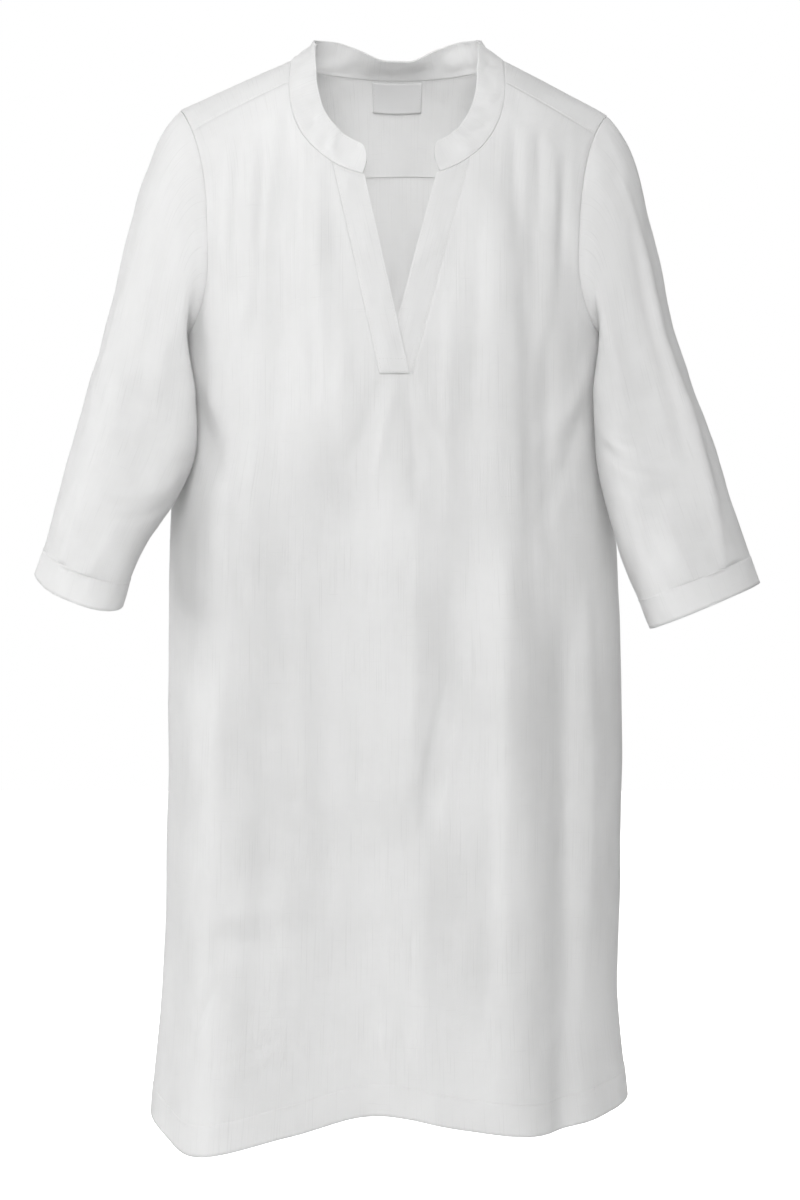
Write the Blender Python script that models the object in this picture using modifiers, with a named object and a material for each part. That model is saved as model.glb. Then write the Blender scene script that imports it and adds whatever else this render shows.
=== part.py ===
"""A white linen tunic dress, worn shape, as one cloth wall for each piece that is cut and sewn.

Metres, +Z up, the front faces -Y and +X is the viewer's right. The origin is at the base of
the neck, midway between the two points where neck seam and shoulder ridge meet.

The torso is one curved surface. Below the underarm it is a stack of rings, worked out from
SECTIONS. Above it each column of the ring goes on as a quarter arch to the shoulder ridge.
A point of it is named by its column, the place across the ring at underarm level, and by its
climb: metres below the underarm when negative, the arch angle in radians when positive.
"""

import math
from collections import namedtuple

import bmesh
import bpy
from mathutils import Vector

OBJECT_NAME = "tunic_dress"

# Cloth
CLOTH = 0.0015
HEM_CLOTH = 0.0026
SEAM_GAP = 0.0003
SIDE_SEAM_GAP = 0.0006
HEM_DEPTH = 0.027
HEM_STEP = 0.0015

# Torso
UNDERARM_Z = -0.270
RIDGE_Y = 0.0
NECK_CENTRE_X = 0.003
NECK_HALF_WIDTH = 0.0975
LEFT_SHOULDER_SLOPE = 0.44
RIGHT_SHOULDER_SLOPE = 0.52
NECK_CROWN = 0.042
ARMHOLE_COLUMN = 0.166
SHOULDER_FAN = 0.19
FAN_POWER = 4
QUARTER_TURN = math.pi / 2

# Neck
FRONT_NECK_TOP_Z = -0.031
FRONT_NECK_DROP = 0.097
NECK_SQUARENESS = 2.2
BACK_NECK_Y = 0.058
BAND_END_ROUND = 0.011
BAND_END_HEIGHT = 0.008
BAND_LIFT = 0.0006
BAND_LEFT_END_X = -0.027
BAND_RIGHT_END_X = 0.041
BAND_FRONT_SHARE = 0.21
BAND_LENGTH = 0.62

# Slit and its two facing bands
SLIT_TOP_Z = -0.119
SLIT_BOTTOM_Z = -0.302
SLIT_LEFT_TOP_X = -0.053
SLIT_LEFT_BOTTOM_X = -0.012
SLIT_RIGHT_TOP_X = 0.065
SLIT_RIGHT_BOTTOM_X = 0.017
FACING_WIDTH = 0.026
LAP_OFFSET = 0.0011
LAP_START_Z = -0.200
LAP_FULL_Z = -0.232

# Yoke seams
FRONT_YOKE_SLOPE = 0.53
BACK_YOKE_CENTRE_CLIMB = 0.62
BACK_YOKE_EDGE_CLIMB = 0.88
SEAM_ANGLE = 0.0008
YOKE_NECK_TRIM = 0.005
NECK_EDGE_TRIM = 0.0004
NECK_WING_SHARE = 0.17

# Armholes
ARMHOLE_LOW_CLIMB = 0.36
ARMHOLE_ROUND = 2.4
ARMHOLE_CENTRE_Z = -0.150
SIDE_SEAM_HOLD = 8.0
SETTLE_TURNS = 8

# Label
LABEL_WIDTH = 0.048
LABEL_HEIGHT = 0.030
LABEL_CLOTH = 0.001
LABEL_X = 0.003
LABEL_START = 0.002
LABEL_GAP = 0.0007
LABEL_ARCH_RADIUS = 0.205

# Cloth colour, a warm optic white
LINEN = (0.83, 0.83, 0.82, 1.0)
LABEL_SATIN = (0.88, 0.88, 0.88, 1.0)

# Lean and height of the band collar: at is the share of its length from its nearer front end
Band = namedtuple("Band", "at lean height")
BAND_LINE = (
    Band(at=0.00, lean=14, height=0.027),
    Band(at=0.20, lean=35, height=0.027),
    Band(at=0.30, lean=54, height=0.027),
    Band(at=0.39, lean=26, height=0.030),
    Band(at=0.50, lean=60, height=0.024),
)

# Half-widths and depths of the body ring at each height
Section = namedtuple("Section", "z left right front back")
SECTIONS = (
    Section(z=-0.270, left=0.198, right=0.198, front=0.122, back=0.112),
    Section(z=-0.340, left=0.199, right=0.199, front=0.124, back=0.108),
    Section(z=-0.420, left=0.206, right=0.205, front=0.124, back=0.106),
    Section(z=-0.520, left=0.208, right=0.209, front=0.124, back=0.112),
    Section(z=-0.640, left=0.208, right=0.211, front=0.127, back=0.122),
    Section(z=-0.760, left=0.210, right=0.209, front=0.131, back=0.130),
    Section(z=-0.860, left=0.215, right=0.207, front=0.135, back=0.135),
    Section(z=-0.990, left=0.226, right=0.220, front=0.140, back=0.140),
)

# How low the hem hangs at each place across the front and the back
Hem = namedtuple("Hem", "across front back")
HEM_LINE = (
    Hem(across=-1.00, front=-0.973, back=-0.973),
    Hem(across=-0.78, front=-0.990, back=-0.980),
    Hem(across=-0.42, front=-0.970, back=-0.968),
    Hem(across=-0.05, front=-0.950, back=-0.962),
    Hem(across=0.30, front=-0.961, back=-0.966),
    Hem(across=0.66, front=-0.968, back=-0.972),
    Hem(across=1.00, front=-0.957, back=-0.957),
)

# Folds: where across the panel at top and bottom, how wide, how far out, and where they fade
Fold = namedtuple("Fold", "top_x bottom_x width out top_z bottom_z")
FRONT_FOLDS = (
    Fold(top_x=-0.140, bottom_x=-0.150, width=0.018, out=0.0050, top_z=-0.075, bottom_z=-0.300),
    Fold(top_x=-0.102, bottom_x=-0.108, width=0.017, out=-0.0070, top_z=-0.070, bottom_z=-0.470),
    Fold(top_x=-0.072, bottom_x=-0.066, width=0.014, out=0.0050, top_z=-0.060, bottom_z=-0.330),
    Fold(top_x=-0.062, bottom_x=-0.040, width=0.010, out=-0.0040, top_z=-0.125, bottom_z=-0.280),
    Fold(top_x=0.000, bottom_x=-0.010, width=0.024, out=0.0050, top_z=-0.315, bottom_z=-0.760),
    Fold(top_x=0.062, bottom_x=0.030, width=0.016, out=-0.0060, top_z=-0.420, bottom_z=-0.760),
    Fold(top_x=0.090, bottom_x=0.095, width=0.020, out=0.0055, top_z=-0.090, bottom_z=-0.700),
    Fold(top_x=0.120, bottom_x=0.118, width=0.011, out=-0.0045, top_z=-0.080, bottom_z=-0.330),
    Fold(top_x=0.148, bottom_x=0.150, width=0.012, out=-0.0060, top_z=-0.090, bottom_z=-0.260),
    Fold(top_x=-0.146, bottom_x=-0.158, width=0.034, out=0.0210, top_z=-0.330, bottom_z=-1.400),
    Fold(top_x=-0.048, bottom_x=-0.040, width=0.054, out=-0.0190, top_z=-0.330, bottom_z=-1.400),
    Fold(top_x=0.088, bottom_x=0.096, width=0.030, out=0.0140, top_z=-0.440, bottom_z=-1.400),
    Fold(top_x=0.150, bottom_x=0.152, width=0.016, out=-0.0050, top_z=-0.440, bottom_z=-1.250),
)
BACK_FOLDS = (
    Fold(top_x=-0.060, bottom_x=-0.080, width=0.022, out=0.0060, top_z=-0.100, bottom_z=-0.620),
    Fold(top_x=-0.018, bottom_x=-0.022, width=0.018, out=-0.0060, top_z=-0.105, bottom_z=-0.700),
    Fold(top_x=0.026, bottom_x=0.030, width=0.018, out=0.0055, top_z=-0.100, bottom_z=-0.740),
    Fold(top_x=0.075, bottom_x=0.070, width=0.020, out=-0.0060, top_z=-0.110, bottom_z=-0.560),
    Fold(top_x=0.140, bottom_x=0.120, width=0.022, out=0.0060, top_z=-0.120, bottom_z=-0.420),
    Fold(top_x=-0.125, bottom_x=-0.130, width=0.020, out=-0.0060, top_z=-0.120, bottom_z=-0.460),
    Fold(top_x=-0.150, bottom_x=-0.158, width=0.030, out=0.0120, top_z=-0.520, bottom_z=-1.250),
    Fold(top_x=-0.075, bottom_x=-0.085, width=0.034, out=-0.0120, top_z=-0.560, bottom_z=-1.250),
    Fold(top_x=0.000, bottom_x=0.005, width=0.034, out=0.0110, top_z=-0.640, bottom_z=-1.250),
    Fold(top_x=0.082, bottom_x=0.088, width=0.032, out=-0.0130, top_z=-0.540, bottom_z=-1.250),
    Fold(top_x=0.150, bottom_x=0.160, width=0.028, out=0.0110, top_z=-0.500, bottom_z=-1.250),
)
FOLD_FADE = 0.11

# Sleeve rings: at runs from 0 at the upper arm to 1 at the cuff, x and half_width away from the body
SleeveRing = namedtuple("SleeveRing", "at x y z half_width half_depth tilt lip")
LEFT_SLEEVE = (
    SleeveRing(at=0.00, x=0.223, y=-0.022, z=-0.300, half_width=0.058, half_depth=0.056, tilt=17, lip=0.0),
    SleeveRing(at=0.22, x=0.230, y=-0.044, z=-0.345, half_width=0.061, half_depth=0.053, tilt=17, lip=0.0),
    SleeveRing(at=0.46, x=0.246, y=-0.064, z=-0.395, half_width=0.055, half_depth=0.051, tilt=18, lip=0.002),
    SleeveRing(at=0.66, x=0.261, y=-0.073, z=-0.431, half_width=0.047, half_depth=0.049, tilt=20, lip=0.004),
    SleeveRing(at=0.83, x=0.272, y=-0.080, z=-0.462, half_width=0.044, half_depth=0.047, tilt=20, lip=0.008),
    SleeveRing(at=1.00, x=0.280, y=-0.084, z=-0.490, half_width=0.0445, half_depth=0.045, tilt=20, lip=0.012),
)
RIGHT_SLEEVE = (
    SleeveRing(at=0.00, x=0.220, y=-0.020, z=-0.297, half_width=0.053, half_depth=0.056, tilt=17, lip=0.0),
    SleeveRing(at=0.22, x=0.229, y=-0.041, z=-0.340, half_width=0.056, half_depth=0.054, tilt=17, lip=0.0),
    SleeveRing(at=0.46, x=0.240, y=-0.063, z=-0.388, half_width=0.058, half_depth=0.052, tilt=18, lip=0.0),
    SleeveRing(at=0.66, x=0.253, y=-0.073, z=-0.435, half_width=0.058, half_depth=0.050, tilt=19, lip=0.0),
    SleeveRing(at=0.83, x=0.266, y=-0.080, z=-0.474, half_width=0.057, half_depth=0.048, tilt=20, lip=0.0),
    SleeveRing(at=1.00, x=0.277, y=-0.084, z=-0.505, half_width=0.056, half_depth=0.046, tilt=21, lip=0.0),
)
SLEEVE_CLEARANCE = 0.005
SLEEVE_SOFTNESS = 0.006
SLEEVE_SQUARENESS = 2.3
SLEEVE_YAW = math.radians(18)
SLEEVE_LIFT = 0.0013
SLEEVE_ARM_LENGTH = 0.200
CAP_CLEAR_SHARE = 0.5
STEP_ALONG = 0.01
WELD = 1e-6
CAP_SPRING = 0.6
CAP_LANDING = 1.1
CAP_SLOPE = 0.80
UNDERARM_RISE = 0.2
UNDERARM_SPRING = 0.6

# Sleeve folds: angle round the sleeve, width in radians, how far out, and where they fade
SleeveFold = namedtuple("SleeveFold", "angle width out top bottom")
LEFT_SLEEVE_FOLDS = (
    SleeveFold(angle=-1.9, width=0.34, out=-0.0050, top=0.20, bottom=0.75),
    SleeveFold(angle=-1.1, width=0.30, out=0.0040, top=0.25, bottom=0.90),
    SleeveFold(angle=1.2, width=0.36, out=-0.0050, top=0.25, bottom=0.85),
    SleeveFold(angle=2.2, width=0.34, out=0.0040, top=0.30, bottom=0.80),
)
RIGHT_SLEEVE_FOLDS = (
    SleeveFold(angle=-1.0, width=0.26, out=0.0050, top=0.15, bottom=0.95),
    SleeveFold(angle=-1.7, width=0.34, out=-0.0045, top=0.30, bottom=0.85),
    SleeveFold(angle=1.1, width=0.34, out=-0.0050, top=0.25, bottom=0.85),
    SleeveFold(angle=2.1, width=0.34, out=0.0045, top=0.30, bottom=0.80),
)

# Grid sizes
SIDE_COLUMNS = 5
HALF_COLUMNS = 11
SLIT_COLUMNS = 2
FRONT_COLUMNS = 2 * (SIDE_COLUMNS + HALF_COLUMNS) + SLIT_COLUMNS
SKIRT_ROWS = 18
SLIT_ROWS = 8
NECK_ROWS = 7
ARMHOLE_ROWS = 7
BACK_HIGH_ROWS = 5
YOKE_WING_COLUMNS = 6
YOKE_BACK_COLUMNS = 18
YOKE_ROWS = HALF_COLUMNS
BACK_COLUMNS = 2 * SIDE_COLUMNS + YOKE_BACK_COLUMNS
SLEEVE_COLUMNS = 26
ARMHOLE_LOW_SHARE = 2 * SIDE_COLUMNS / SLEEVE_COLUMNS
CAP_ROWS = 7
ARM_ROWS = 10
BAND_COLUMNS = 44
BAND_ROWS = 3
FACING_COLUMNS = 3
FACING_ROWS = 14
LABEL_COLUMNS = 4
LABEL_ROWS = 2

FRONT = -1
BACK = 1


def lerp(start, end, share):
    """Value a share of the way from start to end."""
    return start + (end - start) * share


def smooth(share):
    """Share eased at both ends, held between 0 and 1."""
    share = min(max(share, 0.0), 1.0)
    return share * share * (3.0 - 2.0 * share)


def table_value(rows, key, name, place):
    """Read a column of a table at a place between its rows, along a smooth curve."""
    rows = sorted(rows, key=lambda row: getattr(row, key))
    spots = [getattr(row, key) for row in rows]
    values = [getattr(row, name) for row in rows]
    place = min(max(place, spots[0]), spots[-1])
    last = len(rows) - 1
    low = max(index for index in range(last) if spots[index] <= place)

    def slope(index):
        before, after = max(index - 1, 0), min(index + 1, last)
        return (values[after] - values[before]) / (spots[after] - spots[before])

    span = spots[low + 1] - spots[low]
    share = (place - spots[low]) / span
    bend_in = slope(low) * span * share * (1.0 - share) ** 2
    bend_out = slope(low + 1) * span * share**2 * (1.0 - share)
    return lerp(values[low], values[low + 1], smooth(share)) + bend_in - bend_out


def fan(arch):
    """How far a column has spread towards the shoulder point at an arch angle."""
    return 1.0 + SHOULDER_FAN * math.sin(arch) ** FAN_POWER


def ridge_z(x):
    """Height of the shoulder ridge above a place across the shoulders."""
    away = abs(x - NECK_CENTRE_X) / NECK_HALF_WIDTH
    if away < 1.0:
        return NECK_CROWN * (1.0 - away * away)
    slope = LEFT_SHOULDER_SLOPE if x < NECK_CENTRE_X else RIGHT_SHOULDER_SLOPE
    return NECK_HALF_WIDTH * (1.0 - away) * slope


def ring_half(z, side, face):
    """Half-width on one side, and depth on one face, of the body ring at a height."""
    half_width = table_value(SECTIONS, "z", "left" if side < 0 else "right", z)
    depth = table_value(SECTIONS, "z", "front" if face == FRONT else "back", z)
    return half_width, depth


def fold_out(x, z, face):
    """How far the folds push the cloth out at a place of a panel."""
    total = 0.0
    for fold in FRONT_FOLDS if face == FRONT else BACK_FOLDS:
        below_top = fold.top_z - z
        above_end = z - fold.bottom_z
        if below_top > 0.0 and above_end > 0.0:
            centre = lerp(fold.top_x, fold.bottom_x, below_top / (below_top + above_end))
            ends = smooth(below_top / FOLD_FADE) * smooth(above_end / FOLD_FADE)
            total += fold.out * ends * math.exp(-(((x - centre) / fold.width) ** 2))
    return total


def torso(column, climb, face, out=0.0):
    """A point of the torso. column runs from -1 to 1, from side seam to side seam."""
    angle = column * QUARTER_TURN
    half_width, depth = ring_half(UNDERARM_Z + min(climb, 0.0), column, face)
    x = half_width * math.sin(angle)
    y = face * depth * math.cos(angle)
    z = UNDERARM_Z + min(climb, 0.0)
    normal = Vector((x / half_width**2, y / depth**2, 0.0)).normalized()
    if climb > 0.0:
        x *= fan(climb)
        y = lerp(RIDGE_Y, y, math.cos(climb))
        z = lerp(UNDERARM_Z, ridge_z(x), math.sin(climb))
        normal = (normal * math.cos(climb) + Vector((0, 0, math.sin(climb)))).normalized()
    seam_hold = min(1.0, (1.0 - abs(column)) * SIDE_SEAM_HOLD)
    return Vector((x, y, z)) + normal * (out + fold_out(x, z, face) * seam_hold)


def column_of(x, z=UNDERARM_Z):
    """The column whose ring point at a height is at x."""
    half_width, _ = ring_half(z, x, FRONT)
    return math.asin(max(-1.0, min(1.0, x / half_width))) / QUARTER_TURN


def place_at_height(x, z):
    """Column and climb of the torso point at x and z."""
    if z <= UNDERARM_Z:
        return column_of(x, z), z - UNDERARM_Z
    arch = math.asin(min(1.0, (z - UNDERARM_Z) / (ridge_z(x) - UNDERARM_Z)))
    return column_of(x / fan(arch)), arch


def place_at_depth(x, y):
    """Column and climb of the back's point at x and y."""
    arch = 1.0
    for _ in range(SETTLE_TURNS):
        column = column_of(x / fan(arch))
        _, depth = ring_half(UNDERARM_Z, x, BACK)
        reach = depth * math.cos(column * QUARTER_TURN) - RIDGE_Y
        arch = math.acos(max(0.0, min(1.0, (y - RIDGE_Y) / reach)))
    return column, arch


def neck_front(side, turn):
    """Front neck seam: turn runs from 0 at the yoke seam to 1 at the centre front."""
    angle = turn * QUARTER_TURN
    x = NECK_HALF_WIDTH * max(math.cos(angle), 0.0) ** (2 / NECK_SQUARENESS)
    z = FRONT_NECK_TOP_Z - FRONT_NECK_DROP * math.sin(angle) ** (2 / NECK_SQUARENESS)
    return NECK_CENTRE_X + side * x, z


def neck_front_turn(x):
    """Turn of the front neck seam at a place x."""
    share = min(1.0, abs(x - NECK_CENTRE_X) / NECK_HALF_WIDTH)
    return math.acos(share ** (NECK_SQUARENESS / 2)) / QUARTER_TURN


def slit_edge(side, z):
    """Where the panel ends and the facing band begins, beside the slit."""
    share = (z - SLIT_TOP_Z) / (SLIT_BOTTOM_Z - SLIT_TOP_Z)
    if side < 0:
        return lerp(SLIT_LEFT_TOP_X, SLIT_LEFT_BOTTOM_X, share)
    return lerp(SLIT_RIGHT_TOP_X, SLIT_RIGHT_BOTTOM_X, share)


def slit_top_turn(side):
    """Turn of the neck seam where the slit's edge meets it."""
    turn = 0.5
    for _ in range(SETTLE_TURNS):
        _, z = neck_front(side, turn)
        turn = neck_front_turn(slit_edge(side, z))
    return turn


def front_yoke_z(x):
    """Height of the front shoulder seam."""
    return FRONT_NECK_TOP_Z - (abs(x - NECK_CENTRE_X) - NECK_HALF_WIDTH) * FRONT_YOKE_SLOPE


def front_yoke_climb():
    """Climb at which the front shoulder seam crosses the armhole."""
    climb = 1.0
    for _ in range(SETTLE_TURNS):
        x = ARMHOLE_COLUMN * fan(climb)
        _, climb = place_at_height(x, front_yoke_z(x))
    return climb


def back_yoke_climb(column):
    """Climb of the back yoke seam: level across the back."""
    edge = column_of(ARMHOLE_COLUMN)
    return lerp(BACK_YOKE_CENTRE_CLIMB, BACK_YOKE_EDGE_CLIMB, (abs(column) / edge) ** 2)


def armhole_low(share):
    """Column and climb of the armhole's rounded foot, from the underarm to the armhole column."""
    angle = share * QUARTER_TURN
    column = lerp(1.0, column_of(ARMHOLE_COLUMN), math.sin(angle) ** (2 / ARMHOLE_ROUND))
    rise = 1.0 - max(math.cos(angle), 0.0) ** (2 / ARMHOLE_ROUND)
    return column, ARMHOLE_LOW_CLIMB * rise


def hem_z(column, face):
    """Height of the hem under a column."""
    across = math.sin(column * QUARTER_TURN)
    return table_value(HEM_LINE, "across", "front" if face == FRONT else "back", across)


def skirt_climb(row, column, face, top):
    """Climb of a skirt row: the first two rows bound the turned hem, the rest lead to top."""
    hem = hem_z(column, face) - UNDERARM_Z
    if row <= 1:
        return hem + HEM_DEPTH * row
    return lerp(hem + HEM_DEPTH + HEM_STEP, top, (row - 2) / (SKIRT_ROWS - 2))


def opening_edge(side, row):
    """Column and climb of the front's inner edge: up the slit, then round the neck seam."""
    gap = side * SEAM_GAP / 2
    top_turn = slit_top_turn(side)
    top_x, top_z = neck_front(side, top_turn)
    if row <= SLIT_ROWS:
        z = lerp(SLIT_BOTTOM_Z, top_z, row / SLIT_ROWS)
        return place_at_height(lerp(slit_edge(side, SLIT_BOTTOM_Z), top_x, row / SLIT_ROWS) + gap, z)
    turn = lerp(top_turn, 0.0, (row - SLIT_ROWS) / NECK_ROWS)
    x, z = neck_front(side, turn)
    column, climb = place_at_height(x + side * NECK_EDGE_TRIM, z - NECK_EDGE_TRIM * turn)
    return column, climb - SEAM_ANGLE


def front_outer_edge(row, low):
    """Climb of the front along the armhole column, from low to the shoulder seam."""
    if row <= ARMHOLE_ROWS:
        return lerp(low, ARMHOLE_LOW_CLIMB, row / ARMHOLE_ROWS)
    share = (row - ARMHOLE_ROWS) / (SLIT_ROWS + NECK_ROWS - ARMHOLE_ROWS)
    return lerp(ARMHOLE_LOW_CLIMB, front_yoke_climb() - SEAM_ANGLE, share)


def front_place(column, row):
    """A grid point of the front. The middle columns are cut away above the end of the slit."""
    side = -1 if column <= SIDE_COLUMNS + HALF_COLUMNS + SLIT_COLUMNS / 2 else 1
    inward = column if side < 0 else FRONT_COLUMNS - column
    edge = column_of(ARMHOLE_COLUMN)
    low = SLIT_BOTTOM_Z - SEAM_GAP - UNDERARM_Z
    above = row - SKIRT_ROWS
    inner, inner_climb = opening_edge(side, max(above, 0))
    if inward < SIDE_COLUMNS:
        place, top = armhole_low(inward / SIDE_COLUMNS)
        place *= side
        climb = lerp(low, top, above / ARMHOLE_ROWS)
    elif inward <= SIDE_COLUMNS + HALF_COLUMNS:
        share = (inward - SIDE_COLUMNS) / HALF_COLUMNS
        place = lerp(side * edge, inner, share)
        climb = lerp(front_outer_edge(above, low), inner_climb, share)
    else:
        other, _ = opening_edge(-side, 0)
        place = lerp(inner, other, (inward - SIDE_COLUMNS - HALF_COLUMNS) / SLIT_COLUMNS)
        climb = low
    if above <= 0:
        climb = skirt_climb(row, place, FRONT, low)
    return torso(place, climb, FRONT) + Vector((0, FRONT * SIDE_SEAM_GAP / 2, 0))


def front_keep(column, row):
    """Cells of the front grid that are cloth."""
    slit_start = SIDE_COLUMNS + HALF_COLUMNS
    in_slit = slit_start <= column < slit_start + SLIT_COLUMNS
    in_side = column < SIDE_COLUMNS or column >= FRONT_COLUMNS - SIDE_COLUMNS
    if row < SKIRT_ROWS:
        return True
    return not in_slit and not (in_side and row >= SKIRT_ROWS + ARMHOLE_ROWS)


def back_place(column, row):
    """A grid point of the back, from the hem to the yoke seam."""
    inward = min(column, BACK_COLUMNS - column)
    side = -1 if column < BACK_COLUMNS / 2 else 1
    low = SLIT_BOTTOM_Z - UNDERARM_Z
    above = row - SKIRT_ROWS
    middle = BACK_COLUMNS / 2
    place = column_of(ARMHOLE_COLUMN) * (column - middle) / (middle - SIDE_COLUMNS)
    top = ARMHOLE_LOW_CLIMB
    if inward < SIDE_COLUMNS:
        place, top = armhole_low(inward / SIDE_COLUMNS)
        place *= side
    if above <= 0:
        climb = skirt_climb(row, place, BACK, low)
    elif above <= ARMHOLE_ROWS:
        climb = lerp(low, top, above / ARMHOLE_ROWS)
    else:
        share = (above - ARMHOLE_ROWS) / BACK_HIGH_ROWS
        climb = lerp(ARMHOLE_LOW_CLIMB, back_yoke_climb(place) - SEAM_ANGLE, share)
    return torso(place, climb, BACK) + Vector((0, BACK * SIDE_SEAM_GAP / 2, 0))


def back_keep(column, row):
    """Cells of the back grid that are cloth."""
    in_side = column < SIDE_COLUMNS or column >= BACK_COLUMNS - SIDE_COLUMNS
    return not (in_side and row >= SKIRT_ROWS + ARMHOLE_ROWS)


def neck_seam(share):
    """Column, climb and face of the neck seam, from the left yoke corner round the back."""
    x = NECK_CENTRE_X - NECK_HALF_WIDTH
    if share > 0.5:
        column, climb, face = neck_seam(1.0 - share)
        mirrored = 2 * NECK_CENTRE_X - torso(column, climb, face).x
        if face == FRONT:
            return place_at_height(mirrored, torso(column, climb, face).z) + (face,)
        return place_at_depth(mirrored, torso(column, climb, face).y) + (face,)
    if share < NECK_WING_SHARE:
        _, start = place_at_height(x, FRONT_NECK_TOP_Z)
        arch = lerp(start, QUARTER_TURN, share / NECK_WING_SHARE)
        return column_of(x / fan(arch)), arch, FRONT
    angle = math.pi * (share - NECK_WING_SHARE) / (1.0 - 2 * NECK_WING_SHARE)
    x = NECK_CENTRE_X - NECK_HALF_WIDTH * math.cos(angle)
    return place_at_depth(x, RIDGE_Y + BACK_NECK_Y * math.sin(angle)) + (BACK,)


def arch_turn(climb, face):
    """Climb as an angle over the shoulders: negative in front, 0 on the ridge, positive behind."""
    return face * (QUARTER_TURN - climb)


def yoke_place(column, row):
    """A grid point of the yoke, between the neck seam and its outer edge."""
    total = 2 * YOKE_WING_COLUMNS + YOKE_BACK_COLUMNS
    edge = column_of(ARMHOLE_COLUMN)
    neck_column, neck_climb, face = neck_seam(column / total)
    neck_turn = arch_turn(neck_climb, face)
    wing = min(column, total - column)
    side = -1 if column < total / 2 else 1
    if wing <= YOKE_WING_COLUMNS:
        start = arch_turn(front_yoke_climb() + SEAM_ANGLE, FRONT)
        end = arch_turn(back_yoke_climb(edge) + SEAM_ANGLE, BACK)
        outer, outer_turn = side * edge, lerp(start, end, wing / YOKE_WING_COLUMNS)
    else:
        outer = edge * (2 * (column - YOKE_WING_COLUMNS) / YOKE_BACK_COLUMNS - 1.0)
        outer_turn = arch_turn(back_yoke_climb(outer) + SEAM_ANGLE, BACK)
    if column in (0, total):
        neck_turn = arch_turn(neck_climb + SEAM_ANGLE, FRONT)
    share = row / YOKE_ROWS
    share = lerp(share, 1.0, YOKE_NECK_TRIM * (1.0 - share))
    turn = lerp(neck_turn, outer_turn, share)
    face = FRONT if turn < 0 else BACK
    return torso(lerp(neck_column, outer, share), QUARTER_TURN - abs(turn), face)


def armhole(side, share):
    """A point of the armhole seam, from the underarm up the front, over and down the back."""
    face = FRONT if share <= 0.5 else BACK
    rise = max(0.0, 2 * min(share, 1.0 - share))
    column, climb = armhole_low(min(1.0, rise / ARMHOLE_LOW_SHARE))
    if rise > ARMHOLE_LOW_SHARE:
        top = (rise - ARMHOLE_LOW_SHARE) / (1.0 - ARMHOLE_LOW_SHARE)
        climb = lerp(ARMHOLE_LOW_CLIMB, QUARTER_TURN, top)
    point = torso(side * column, climb, face)
    inward = Vector((0, -point.y, ARMHOLE_CENTRE_Z - point.z)).normalized()
    return point + inward * SLEEVE_LIFT + Vector((side * SLEEVE_LIFT / 2, 0, 0))


def sleeve_ring_point(side, rings, at, angle):
    """A point of a sleeve ring. angle 0 is the outer side and a quarter turn is the back."""
    ring = SleeveRing(*[table_value(rings, "at", name, at) for name in SleeveRing._fields])
    tilt = math.radians(ring.tilt)
    flat = math.cos(tilt)
    across = Vector((side * flat * math.cos(SLEEVE_YAW), flat * math.sin(SLEEVE_YAW), math.sin(tilt)))
    across *= ring.half_width
    deep = Vector((0.0, ring.half_depth, 0.0))
    lip = Vector((0.0, 0.0, ring.lip * math.sin(angle)))
    centre = Vector((side * ring.x, ring.y, ring.z))
    wide, long = (math.copysign(abs(part) ** (2 / SLEEVE_SQUARENESS), part)
                  for part in (math.cos(angle), math.sin(angle)))
    return centre + across * wide + deep * long + lip


def sleeve_fold_out(folds, angle, share):
    """How far the folds push a sleeve out at an angle round it and a share of its length."""
    total = 0.0
    for fold in folds:
        if fold.top < share < fold.bottom:
            away = (angle - fold.angle + math.pi) % (2 * math.pi) - math.pi
            ends = math.sin(math.pi * (share - fold.top) / (fold.bottom - fold.top))
            total += fold.out * ends * math.exp(-((away / fold.width) ** 2))
    return total


def clear_of_body(point, side, weight):
    """Move a sleeve point outwards where it would lie in the body of the dress."""
    face = FRONT if point.y < 0 else BACK
    half_width, depth = ring_half(min(point.z, UNDERARM_Z), side, face)
    reach = min(1.0, abs(point.y) / (depth + SLEEVE_CLEARANCE))
    wall = (half_width + SLEEVE_CLEARANCE) * math.sqrt(1.0 - reach * reach)
    inside = (wall - side * point.x) / SLEEVE_SOFTNESS
    push = SLEEVE_SOFTNESS * (math.log1p(math.exp(-abs(inside))) + max(inside, 0.0))
    return point + Vector((side * push * weight, 0.0, 0.0))


def cap_point(side, rings, share, angle):
    """A point of the sleeve between the armhole seam and its first ring."""
    start = armhole(side, (angle + math.pi) / (2 * math.pi))
    end = sleeve_ring_point(side, rings, 0.0, angle)
    after = sleeve_ring_point(side, rings, STEP_ALONG, angle)
    reach = (end - start).length
    height = math.cos(angle)
    away = Vector((side, 0.0, -CAP_SLOPE * max(height, 0.0) + UNDERARM_RISE * max(-height, 0.0)))
    leave = away.normalized() * reach * lerp(UNDERARM_SPRING, CAP_SPRING, (1.0 + height) / 2)
    land = (after - end).normalized() * reach * CAP_LANDING
    rest = 1.0 - share
    return (start * (1.0 + 2.0 * share) * rest**2 + leave * share * rest**2
            + end * (3.0 - 2.0 * share) * share**2 - land * share**2 * rest)


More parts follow.
